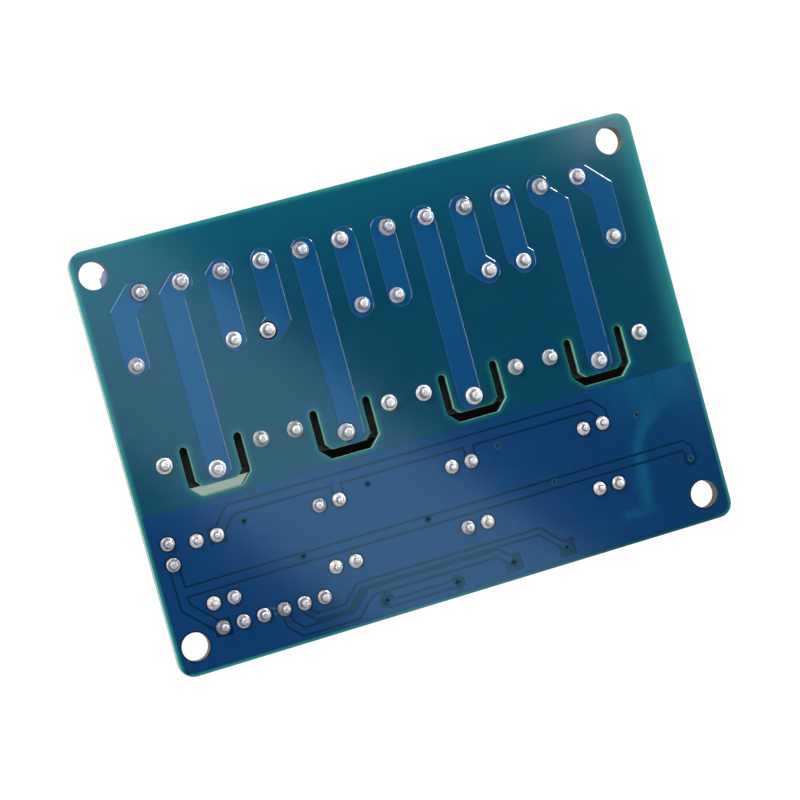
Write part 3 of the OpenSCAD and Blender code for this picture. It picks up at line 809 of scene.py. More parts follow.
@dataclass(frozen=True)
class CopperMaskWithPaintedLight:
    """Solder mask over copper: blue, brighter on the wide power tracks than on the ground plane, with painted
    light: the tracks lighter towards the top, the plane lighter towards the left, and a painted reflection of
    glare down the plane's right end.
    """

    name: str
    plane_top: float
    half_length: float
    half_width: float
    track: Colour = (0.0052, 0.0760, 0.2050)
    track_low: Colour = (0.0050, 0.0640, 0.1850)
    plane: Colour = (0.0040, 0.0440, 0.1480)
    plane_far: Colour = (0.0030, 0.0400, 0.1180)
    # Painted reflection: the colour, place and shape of the glare painted down the plane's right end.
    painted_glare: Colour = (0.0090, 0.1400, 0.2500)
    glare_x: float = 25.7 * MM
    glare_foot: float = -22.0 * MM
    glare_head: tuple[float, float] = (-15.5 * MM, -7.5 * MM)
    glare_lean: float = 5.6 * MM
    glare_half: float = 1.35 * MM
    glare_growth: float = 5.5 * MM
    glare_share: float = 0.42
    hook_span: tuple[float, float] = (1.2 * MM, 3.2 * MM)
    glare_wash_y: tuple[float, float] = (-14.0 * MM, -6.8 * MM)
    glare_wash_x: tuple[float, float] = (19.0 * MM, 29.0 * MM)
    tone_y: tuple[float, float] = (20.0 * MM, -4.0 * MM)
    swell_depth: float = 0.012 * MM

    def _glare_streak(self, paint: Paint, x: Socket, y: Socket) -> Socket:
        """A painted reflection: a crooked streak of glare down the right end of the ground plane, wide at its
        head, with a softer wash of glare.

        Args:
            paint: The material under work.
            x: A point's X.
            y: Its Y.

        Returns:
            The smear's strength there, from 0 to 1.
        """
        head = paint.ramp(y, *self.glare_head)
        bend = paint.math("MULTIPLY_ADD", paint.noise(130.0, 2.0), 3.0 * MM, -1.5 * MM)
        middle = paint.math("MULTIPLY_ADD", head, self.glare_lean, self.glare_x)
        off = paint.math("ABSOLUTE", paint.math("SUBTRACT", paint.math("ADD", x, bend), middle))
        flare = paint.math("POWER", head, 2.0)
        reach = paint.math("MULTIPLY_ADD", flare, self.glare_growth, self.glare_half)
        band = paint.math("SUBTRACT", 1.0, paint.ramp(paint.math("DIVIDE", off, reach), 0.1, 1.0))
        above = paint.ramp(y, self.glare_foot - 1.2 * MM, self.glare_foot + 1.0 * MM)
        band = paint.math("MULTIPLY", band, above)
        low = paint.math("ABSOLUTE", paint.math("SUBTRACT", paint.math("ADD", y, bend), self.glare_foot))
        hook = paint.math("SUBTRACT", 1.0, paint.ramp(low, 0.1 * MM, 1.0 * MM))
        span = paint.math("ABSOLUTE", paint.math("SUBTRACT", x, self.glare_x - 2.0 * MM))
        fade = paint.math("SUBTRACT", 1.0, paint.ramp(span, *self.hook_span))
        hook = paint.math("MULTIPLY", paint.math("MULTIPLY", hook, 0.7), fade)
        glare_wash = paint.math("MULTIPLY", paint.ramp(y, *self.glare_wash_y), paint.ramp(x, *self.glare_wash_x))
        band = paint.math("MAXIMUM", band, paint.math("MULTIPLY", glare_wash, 0.85))
        streaky = paint.noise(420.0, 4.0, 0.6, at=paint.stretched((1.0, 0.35, 1.0)))
        return paint.math("MULTIPLY", paint.math("MAXIMUM", band, hook), paint.ramp(streaky, 0.12, 0.62))

    def material(self) -> Material:
        """Builds the material.

        Returns:
            The material.
        """
        paint = Paint(self.name)
        x, y, _ = paint.axes()
        cloud = paint.noise(90.0, 3.0, 0.5)
        # Painted light: the tracks are painted lighter towards the top and darker towards the bottom.
        tracks = paint.mix(paint.ramp(y, *self.tone_y), self.track, self.track_low)
        # Painted light: the ground plane is painted lighter towards the left and darker towards its right
        # end.
        far = paint.ramp(x, 0.1 * self.half_length, self.half_length)
        lean = paint.math("MULTIPLY_ADD", far, 0.5, -0.1)
        spread = paint.math("MULTIPLY_ADD", cloud, 0.6, lean, clamp=True)
        plane = paint.mix(spread, self.plane, self.plane_far)
        # Painted reflection: the plane is painted lighter where the glare lies.
        glare_amount = paint.math("MULTIPLY", self._glare_streak(paint, x, y), self.glare_share)
        plane = paint.mix(glare_amount, plane, self.painted_glare)
        in_plane = paint.ramp(y, self.plane_top + 0.03 * MM, self.plane_top - 0.03 * MM)
        fine = paint.math("MULTIPLY_ADD", paint.noise(700.0, 4.0), 0.07, 0.07)
        paint.set(Base_Color=paint.mix(in_plane, tracks, plane), Roughness=fine, IOR=1.5)
        ripple = paint.math("MULTIPLY", paint.noise(3000.0, 2.0), 0.05)
        swell = paint.math("ADD", paint.noise(260.0, 2.0), ripple)
        return paint.bump(swell, 0.2, self.swell_depth).material


@dataclass(frozen=True)
class CutEdge:
    """The sawn or milled edge of glass laminate: pale resin with its layers of cloth."""

    name: str
    light: Colour
    dark: Colour
    layers: float = 5200.0
    top: float = 0.0
    lit_depth: float = 0.0
    shade: Colour = (0.004, 0.022, 0.022)

    def material(self) -> Material:
        """Builds the material.

        Returns:
            The material.
        """
        paint = Paint(self.name)
        layer = paint.noise(self.layers, 2.0, 0.5, at=paint.stretched((0.05, 0.05, 1.0)))
        fibre = paint.noise(6000.0, 3.0, 0.7)
        tone = paint.math("MULTIPLY_ADD", layer, 0.7, paint.math("MULTIPLY", fibre, 0.3), clamp=True)
        colour = paint.mix(tone, self.light, self.dark)
        if self.lit_depth:
            lit = paint.ramp(paint.axes()[2], self.top - self.lit_depth, self.top - 0.5 * self.lit_depth)
            colour = paint.mix(lit, self.shade, colour)
        paint.set(Base_Color=colour, Roughness=0.62)
        return paint.bump(fibre, 0.5, 0.02 * MM).material


# ---- the board -----------------------------------------------------------------------


@dataclass
class Laminate:
    """The board with its corner holes, drilled holes and isolation slots."""

    vias: list[Vector]
    name: str = "laminate_board"
    chamfer: float = 0.13 * MM
    corner_in: tuple[float, float] = (2.85 * MM, 3.25 * MM)
    hole_reach: float = 2.1 * MM
    drill_reach: float = 0.85 * MM
    common_width: float = 2.1 * MM
    margin: float = 2.0 * MM
    lit_depth: float = 0.95 * MM
    low: Vector = field(init=False)
    high: Vector = field(init=False)
    plane_top: float = field(init=False)
    common_y: float = field(init=False)
    relay_x: tuple[float, ...] = field(init=False)
    corners: list[Vector] = field(init=False)
    drilled: list[Vector] = field(init=False)

    def __post_init__(self) -> None:
        """Reads the board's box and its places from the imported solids."""
        self.low, self.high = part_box("circuit_board")
        relays = [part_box(f"relay_{i}_cover") for i in range(1, RELAYS + 1)]
        self.relay_x = tuple((low.x + high.x) / 2 for low, high in relays)
        self.plane_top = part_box("ground_plane")[1].y
        commons = [solid.middle for solid in solids_of("solder_relays") if solid.width > self.common_width]
        self.common_y = commons[0].y
        self.corners = self._corner_places(FRAME["record"]["mounts"])
        self.drilled = joint_middles(*JOINT_NODES) + self.vias

    def _corner_places(self, mounts: list[dict]) -> list[Vector]:
        """Finds the four corner holes from the record's bolt pattern.

        Args:
            mounts: The record's mounts.

        Returns:
            The holes' middles, on the board's own plane.
        """
        pattern = next(mount for mount in mounts if mount["name"] == "corner_holes")
        middle = Vector(pattern["pos_m"])
        half_x = (self.high.x - self.low.x) / 2 - self.corner_in[0]
        half_y = (self.high.y - self.low.y) / 2 - self.corner_in[1]
        return [middle + Vector((sx * half_x, sy * half_y, 0)) for sx in (-1, 1) for sy in (-1, 1)]

    def _chamfer_rims(self, obj: Piece) -> None:
        """Breaks the rims of the outline, the slots and the corner holes.

        Args:
            obj: The board.
        """
        levels = (self.low.z, self.high.z)

        def on_rim(edge: bmesh.types.BMEdge) -> bool:
            """Whether an edge is a rim that the router leaves."""
            middle = (edge.verts[0].co + edge.verts[1].co) / 2
            return on_level_rim(edge, levels) and not near(middle, self.drilled, self.drill_reach)

        with Bench.edit(obj):
            Bench.pick_edges(obj, on_rim)
            bpy.ops.mesh.bevel(offset=self.chamfer, segments=1, affect="EDGES", clamp_overlap=True)

    def _paint_faces(self, obj: Piece) -> None:
        """Gives mask, cut edges, drilled walls, plated walls and slot walls their own material.

        Args:
            obj: The board.
        """
        inner = self.high.xy - Vector((self.margin, self.margin))
        for polygon in obj.data.polygons:
            middle = polygon.center
            if abs(polygon.normal.z) > 0.9:
                polygon.material_index = 0
            elif near(middle, self.corners, self.hole_reach):
                polygon.material_index = 2
            elif near(middle, self.drilled, self.drill_reach):
                polygon.material_index = 3
            elif abs(middle.x) > inner.x or abs(middle.y) > inner.y:
                polygon.material_index = 1
            else:
                polygon.material_index = 4

    def build(self, mask: Material, plating: Material) -> Piece:
        """Builds and dresses the board.

        Args:
            mask: The solder mask's material.
            plating: The material of the plated walls.

        Returns:
            The board.
        """
        obj = Bench.merged("circuit_board", self.name)
        self._chamfer_rims(obj)
        edge = CutEdge("milled_edge", (0.46, 0.66, 0.58), (0.20, 0.42, 0.36))
        wall = CutEdge("drilled_wall", (0.20, 0.15, 0.12), (0.08, 0.06, 0.05))
        slot = CutEdge(
            "slot_wall", (0.40, 0.68, 0.56), (0.22, 0.50, 0.40), top=self.high.z, lit_depth=self.lit_depth
        )
        for material in (mask, edge.material(), wall.material(), plating, slot.material()):
            obj.data.materials.append(material)
        self._paint_faces(obj)
        Bench.smooth(obj, 25.0)
        return finish(obj, MAIN_BODY, "laminate", "circuit_board")


@dataclass
class CopperSkins:
    """The copper under the mask: power tracks, ground plane and signal traces."""

    shoulder: float = 0.075 * MM
    flank: float = 0.09 * MM
    foot: float = 0.029 * MM
    hole_reach: float = 1.2 * MM
    wide: str = "power_tracks"
    wide_bend: float = 12.0
    fine_bend: float = 50.0
    fine: tuple[str, ...] = ("ground_plane", "signal_traces")

    def _round_over(self, obj: Piece, top: float) -> None:
        """Rounds the upper rim of a skin with fine gaps.

        Args:
            obj: The skin.
            top: The height of its upper face.
        """
        with Bench.edit(obj):
            Bench.pick_edges(obj, lambda edge: on_level_rim(edge, (top,)))
            bpy.ops.mesh.bevel(offset=self.shoulder, segments=2, affect="EDGES", clamp_overlap=True)

    def _slope_flanks(self, obj: Piece, low: float, top: float) -> None:
        """Slopes the flanks of the wide tracks, where the mask runs down over thick copper.

        The pin holes, which lie under the joints, are closed first.

        Args:
            obj: The tracks.
            low: The height of their lower face.
            top: The height of their upper face.
        """
        rise = top - low - self.foot
        joints = joint_middles(*JOINT_NODES[:2])

        def in_hole(middle: Vector, normal: Vector) -> bool:
            """Whether a face is part of the wall of a pin hole."""
            return abs(normal.z) < 0.5 and near(middle, joints, self.hole_reach)

        with Bench.edit(obj):
            Bench.pick_faces(obj, in_hole)
            bpy.ops.mesh.delete(type="FACE")
            bpy.ops.mesh.select_all(action="SELECT")
            bpy.ops.mesh.fill_holes(sides=0)
            Bench.pick_faces(obj, lambda middle, normal: normal.z > 0.9 and middle.z > top - MERGE)
            bpy.ops.mesh.dissolve_faces()
            bpy.ops.transform.translate(value=(0, 0, -rise))
            bpy.ops.mesh.inset(thickness=self.flank, depth=rise, use_boundary=True)

    def build(self, masked: Material) -> list[Piece]:
        """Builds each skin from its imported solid.

        Args:
            masked: The material of masked copper.

        Returns:
            The skins.
        """
        made = []
        for node in (self.wide, *self.fine):
            obj = Bench.merged(node, "masked_" + node)
            low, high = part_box(node)
            if node == self.wide:
                self._slope_flanks(obj, low.z, high.z)
            else:
                self._round_over(obj, high.z)
            obj.data.materials.append(masked)
            Bench.level(obj, self.wide_bend if node == self.wide else self.fine_bend)
            made.append(finish(obj, MAIN_BODY, "masked_copper", node))
        return made


@dataclass
class ViaRings:
    """The small plated holes, each a green ring round a barrel painted dark as shade."""

    ring: float = 0.42 * MM
    bore: float = 0.21 * MM
    lift: float = 0.03 * MM
    depth: float = 0.5 * MM
    clear: float = 0.8 * MM
    sides: int = 20
    fewest: int = 8
    vias: list[Vector] = field(init=False)

    def __post_init__(self) -> None:
        """Finds the small holes in the board's upper face, clear of every solder joint."""
        shape = bmesh.new()
        shape.from_mesh(FRAME["nodes"]["circuit_board"].data)
        bmesh.ops.remove_doubles(shape, verts=shape.verts, dist=MERGE)
        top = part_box("circuit_board")[1].z
        rims = [vert.co.copy() for vert in shape.verts if abs(vert.co.z - top) < MERGE]
        shape.free()
        groups: list[list[Vector]] = []
        for co in rims:
            group = next((g for g in groups if (g[0] - co).length < 2.2 * self.bore), None)
            if group is None:
                groups.append([co])
            else:
                group.append(co)
        middles = [sum(g, Vector()) / len(g) for g in groups if len(g) > self.fewest]
        joints = joint_middles(*JOINT_NODES)
        self.vias = [middle for middle in middles if not near(middle, joints, self.clear)]

    def _materials(self) -> tuple[Material, Material]:
        """Builds the two materials.

        Returns:
            The mask on the ring, and the barrel painted dark as shade.
        """
        mask = Paint("via_mask")
        patch = mask.ramp(mask.noise(1200.0, 3.0), 0.35, 0.75)
        mask.set(Base_Color=mask.mix(patch, (0.003, 0.044, 0.098), (0.005, 0.070, 0.078)), Roughness=0.2)
        mask.bump(patch, 0.3, 0.01 * MM)
        # Painted shade: the barrel is painted near black, as the shade inside the hole.
        dark = Paint("via_shade_barrel")
        shade = dark.mix(dark.noise(4000.0), (0.002, 0.012, 0.014), (0.004, 0.02, 0.02))
        dark.set(Base_Color=shade, Roughness=0.6, Specular_IOR_Level=0.1)
        return mask.material, dark.material

    def build(self) -> Piece:
        """Models one ring with its barrel and copies it to each hole.

        Returns:
            All the rings, as one piece.
        """
        model = Bench.ring(self.ring, 0.0, self.sides, "via_model")
        Bench.raise_rings(model, [
            (self.ring, 0.6 * self.lift), (0.86 * self.ring, self.lift), (1.25 * self.bore, self.lift),
            (self.bore, 0.5 * self.lift), (0.9 * self.bore, -self.depth),
        ])
        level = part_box("ground_plane")[1].z
        copies = [Bench.twin(model, Vector((via.x, via.y, level))) for via in self.vias]
        bpy.data.objects.remove(model)
        obj = Bench.join(copies, "via_rings")
        for material in self._materials():
            obj.data.materials.append(material)
        for polygon in obj.data.polygons:
            polygon.material_index = int(near(polygon.center, self.vias, 1.05 * self.bore))
        Bench.smooth(obj, 40.0)
        return finish(obj, MAIN_BODY, "laminate")


class JointShape(Enum):
    """How a solder joint has set: its rings, as shares of its radius and of its height."""

    TIPPED = (
        (1.0, 0.03), (0.94, 0.075), (0.87, 0.12), (0.80, 0.165), (0.73, 0.215), (0.67, 0.28), (0.63, 0.37),
        (0.61, 0.51), (0.60, 0.68), (0.58, 0.84), (0.52, 0.945), (0.40, 0.99), (0.22, 1.0), (0.07, 1.0),
    )
    FULL = (
        (1.0, 0.035), (0.95, 0.09), (0.88, 0.17), (0.80, 0.255), (0.73, 0.34), (0.67, 0.43), (0.63, 0.54),
        (0.60, 0.68), (0.57, 0.82), (0.51, 0.925), (0.42, 0.98), (0.28, 1.0), (0.10, 1.0),
    )
    FLAT = (
        (1.0, 0.04), (0.94, 0.11), (0.86, 0.185), (0.78, 0.255), (0.69, 0.32), (0.60, 0.385), (0.52, 0.46),
        (0.46, 0.56), (0.42, 0.69), (0.395, 0.83), (0.35, 0.93), (0.27, 0.985), (0.15, 1.0), (0.05, 1.0),
    )


@dataclass
class SolderJoints:
    """The solder joints of one kind of pin, each a little different."""

    node: str
    name: str
    height: float
    shapes: tuple[JointShape, ...]
    seed: int
    wanted: Callable[[Solid], bool] = lambda joint: True
    wobble: float = 0.05 * MM
    lean: float = 0.07 * MM
    sides: int = 28
    sink: float = 0.02 * MM

    def _model(self, radius: float, shape: JointShape, seed: int) -> Piece:
        """Models one joint by raising rings, then makes it uneven and lets its tip lean.

        Args:
            radius: Its radius.
            shape: How it has set.
            seed: What makes it differ from the others.

        Returns:
            The joint, about the origin.
        """
        obj = Bench.ring(radius, -self.sink, self.sides, "joint_model")
        Bench.raise_rings(obj, [(r * radius, h * self.height) for r, h in shape.value])
        with Bench.edit(obj):
            Bench.pick_faces(obj, lambda middle, normal: 0.12 < middle.z / self.height < 0.9)
            bpy.ops.transform.vertex_random(offset=self.wobble, uniform=0.0, normal=0.4, seed=seed)
            bpy.ops.mesh.vertices_smooth(factor=0.5, repeat=1)
            Bench.pick_faces(obj, lambda middle, normal: middle.z > 0.55 * self.height)
            bpy.ops.transform.translate(value=(self.lean, 0, 0))
        return obj

    def build(self, material: Material) -> Piece:
        """Builds the wanted joints of the node as one piece.

        Args:
            material: The solder's material.

        Returns:
            The joints.
        """
        dice = random.Random(self.seed)
        copies = []
        models: dict[tuple[int, JointShape, int], Piece] = {}
        for number, joint in enumerate(filter(self.wanted, solids_of(self.node))):
            shape = self.shapes[number % len(self.shapes)]
            key = (round(joint.width / (0.01 * MM)), shape, dice.randrange(6))
            if key not in models:
                models[key] = self._model(joint.width / 2, shape, self.seed + 7 * key[2])
            place = Vector((joint.middle.x, joint.middle.y, joint.low.z))
            copies.append(Bench.twin(models[key], place, dice.uniform(0, math.tau)))
        for model in models.values():
            bpy.data.objects.remove(model)
        obj = Bench.join(copies, self.name)
        obj.data.materials.append(material)
        Bench.smooth(obj, 75.0)
        return finish(obj, MAIN_BODY, "solder", self.node)


# ---- component side ------------------------------------------------------------------


@dataclass
class RelayRow:
    """Four sealed relays: moulded cover, sealed base and pins."""

    corner: float = 0.22 * MM
    base_corner: float = 0.1 * MM
    pin_edge: float = 0.12 * MM

    def build(self, cover: Material, base: Material, pin: Material) -> None:
        """Builds the covers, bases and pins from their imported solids.

        Args:
            cover: The cover's plastic.
            base: The sealed base.
            pin: The tinned pins.
        """
        for i in range(1, RELAYS + 1):
            relay = f"relay_{i}"
            dress(relay + "_cover", relay + "_shell", (self.corner, 3), "relay_cover", cover)
            dress(relay + "_base", relay + "_sealed_base", (self.base_corner, 1), "relay_base", base)
        dress("relay_pins", "relay_pin_row", (self.pin_edge, 2), "tinned", pin)


@dataclass
class TerminalBlocks:
    """Four three-way blocks with their contact strips."""

    edge: float = 0.1 * MM
    strip_edge: float = 0.05 * MM

    def build(self, housing: Material, brass: Material) -> None:
        """Builds the housings and contacts.

        Args:
            housing: The housings' plastic.
            brass: The contacts' metal.
        """
        for i in range(1, BLOCKS + 1):
            block = f"terminal_{i}"
            dress(block + "_housing", block + "_block", (self.edge, 2), "terminal_housing", housing)
            dress(block + "_contacts", block + "_strips", (self.strip_edge, 2), "brass_strip", brass)


@dataclass
class TerminalScrew:
    """One captive screw: slotted cheese head and a rolled thread."""

    number: int
    pitch: float = 0.45 * MM
    tooth: float = 0.17 * MM
    crest: float = 0.04 * MM
    head: float = 1.9 * MM
    head_edge: float = 0.12 * MM
    thread_from: float = 1.6 * MM
    thread_to: float = 0.2 * MM
    steps: int = 16

    def _thread(self, middle: Vector, radius: float, low: float, high: float) -> Piece:
        """Winds the thread as a helix of one tooth.

        Args:
            middle: A point of the screw's axis.
            radius: The thread's crest radius.
            low: Height of the thread's lower end.
            high: Height of its upper end.

        Returns:
            The thread.
        """
        turns = int((high - low) / self.pitch) - 1
        root = radius - self.tooth
        Bench.clear()
        bpy.ops.mesh.primitive_plane_add(size=self.pitch, location=(root, 0, 0), rotation=(math.pi / 2, 0, 0))
        obj = bpy.context.object
        Bench.settle(obj)
        with Bench.edit(obj):
            bpy.ops.mesh.select_mode(type="VERT")
            shape = bmesh.from_edit_mesh(obj.data)
            for vert in shape.verts:
                outer = vert.co.x > root
                upper = vert.co.z > 0
                vert.co.x = radius if outer else root - 0.3 * self.tooth
                vert.co.z = (0.1 if outer else 0.46) * self.pitch * (1 if upper else -1)
            bmesh.update_edit_mesh(obj.data)
            bpy.ops.mesh.delete(type="ONLY_FACE")
        Bench.apply(
            obj, "SCREW", angle=math.tau, screw_offset=self.pitch, iterations=turns, steps=self.steps,
            render_steps=self.steps, axis="Z", use_merge_vertices=True, merge_threshold=MERGE,
        )
        with Bench.edit(obj):
            bpy.ops.mesh.select_non_manifold()
            bpy.ops.mesh.fill()
            bpy.ops.mesh.select_all(action="SELECT")
            bpy.ops.mesh.normals_make_consistent(inside=False)
        obj.data.transform(Matrix.Translation((middle.x, middle.y, low + 0.6 * self.pitch)))
        return obj

    def build(self, steel: Material) -> Piece:
        """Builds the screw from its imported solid, with a thread round the shank.

        Args:
            steel: The screw's metal.

        Returns:
            The screw.
        """
        node = f"screw_{self.number:02d}"
        low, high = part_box(node)
        obj = Bench.softened(node, node + "_turned", self.head_edge, 2)
        middle = (low + high) / 2
        shank = [v.co for v in obj.data.vertices if v.co.z > low.z + self.head]
        radius = max((co.xy - middle.xy).length for co in shank) + self.crest
        thread = self._thread(middle, radius, low.z + self.thread_from, high.z - self.thread_to)
        obj = Bench.join([obj, thread], node + "_turned")
        obj.data.materials.clear()
        obj.data.materials.append(steel)
        Bench.smooth(obj, 35.0)
        return finish(obj, node, "screw_steel", node)


@dataclass
class ClampCage:
    """One rising clamp, folded from plated strip."""

    number: int
    fold: float = 0.09 * MM

    def build(self, steel: Material) -> Piece:
        """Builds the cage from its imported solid, in the strip's metal."""
        node = f"clamp_{self.number:02d}"
        return dress(node, node + "_folded", (self.fold, 2), "plated_steel", steel, node)


@dataclass
class CouplersAndHeaders:
    """The optocouplers with their leads, the two pin headers and the jumper's cap."""

    body_edge: float = 0.1 * MM
    lead_edge: float = 0.05 * MM
    strip_edge: float = 0.08 * MM
    wire_edge: float = 0.12 * MM
    cap_edge: float = 0.15 * MM

    def build(self, resin: Material, lead: Material, nylon: Material, gilt: Material, cap: Material) -> None:
        """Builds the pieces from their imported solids.

        Args:
            resin: The optocouplers' resin.
            lead: Their tinned leads.
            nylon: The headers' strips.
            gilt: The headers' pins.
            cap: The jumper's cap.
        """
        dress("optocouplers", "optocoupler_bodies", (self.body_edge, 2), "black_resin", resin)
        dress("optocoupler_leads", "optocoupler_lead_frames", (self.lead_edge, 2), "tinned", lead)
        for header in ("input_header", "jumper_header"):
            dress(header, header + "_strip", (self.strip_edge, 2), "black_nylon", nylon)
            dress(header + "_pins", header + "_wires", (self.wire_edge, 2), "gilt_pin", gilt)
        dress("jumper_cap", "jumper_cap_moulding", (self.cap_edge, 2), "jumper_plastic", cap)


@dataclass
class SmallParts:
    """Chip resistors, lamps, diodes and transistors, with their metal ends and legs."""

    deck: float
    leg: float = 0.26 * MM
    cap: float = 0.38 * MM
    chip_edge: float = 0.04 * MM
    lamp_edge: float = 0.08 * MM
    resin_edge: float = 0.05 * MM

    def _ends(self, obj: Piece, solids: list[Solid], metal: Material) -> None:
        """Gives the two end bands of each chip the metal.

        Args:
            obj: The chips, as one piece.
            solids: Each chip's box.
            metal: The metal of the end bands.
        """
        with Bench.edit(obj):
            for solid in solids:
                for side in (solid.low.x + self.cap, solid.high.x - self.cap):
                    def of_chip(middle: Vector, normal: Vector, chip: Solid = solid) -> bool:
                        """Whether a face belongs to this chip."""
                        return (middle.xy - chip.middle.xy).length < chip.width

                    Bench.pick_faces(obj, of_chip)
                    bpy.ops.mesh.bisect(plane_co=(side, 0, 0), plane_no=(1, 0, 0))
        obj.data.materials.append(metal)
        for polygon in obj.data.polygons:
            chip = min(solids, key=lambda s: (s.middle.xy - polygon.center.xy).length)
            inner = abs(polygon.center.x - chip.middle.x) < chip.width / 2 - self.cap
            polygon.material_index = 0 if inner else 1

    def _legs(self, obj: Piece, metal: Material) -> None:
        """Gives the faces next to the board the metal of legs.

        Args:
            obj: The parts, as one piece.
            metal: The metal of the legs.
        """
        obj.data.materials.append(metal)
        for polygon in obj.data.polygons:
            lowest = min(obj.data.vertices[v].co.z for v in polygon.vertices)
            polygon.material_index = 1 if lowest > self.deck - self.leg else 0

    def build(self, black: Material, lamp: Material, metal: Material) -> None:
        """Builds the small parts.

        Args:
            black: Moulded black resin.
            lamp: The lamps' resin.
            metal: The tinned ends and legs.
        """
        ended = (
            ("chip_resistors", (self.chip_edge, 1), "black_resin", black),
            ("status_lamps", (self.lamp_edge, 2), "lamp_resin", lamp),
        )
        for node, edge, slot, material in ended:
            row = Bench.softened(node, node.removesuffix("s") + "_row", *edge)
            row.data.materials.append(material)
            self._ends(row, solids_of(node), metal)
            finish(row, MAIN_BODY, slot, node)
        for node in ("flyback_diodes", "driver_transistors"):
            row = Bench.softened(node, node + "_row", self.resin_edge, 1)
            row.data.materials.append(black)
            self._legs(row, metal)
            finish(row, MAIN_BODY, "black_resin", node)


# ---- studio --------------------------------------------------------------------------


@dataclass(frozen=True)
class SoftBox:
    """One soft rectangular lamp, with its place, aim and sides in millimetres and its spin in degrees."""

    name: str
    place: Point
    aim: Point
    size: tuple[float, float]
    watts: float
    spin: float = 0.0
    colour: Colour = (1.0, 1.0, 1.0)
    gloss_only: bool = True

    def hang(self) -> Piece:
        """Hangs the lamp.

        Returns:
            The lamp.
        """
        data = bpy.data.lights.new(self.name, "AREA")
        data.shape = "RECTANGLE"
        data.size, data.size_y = (side * MM for side in self.size)
        data.energy = self.watts
        data.color = self.colour
        obj = bpy.data.objects.new(self.name, data)
        bpy.context.scene.collection.objects.link(obj)
        obj.location = Vector(self.place) * MM
        look = (Vector(self.aim) - Vector(self.place)).to_track_quat("-Z", "Y").to_matrix()
        obj.rotation_euler = (look @ Matrix.Rotation(math.radians(self.spin), 3, "Z")).to_euler()
        obj.visible_diffuse = not self.gloss_only
        return obj


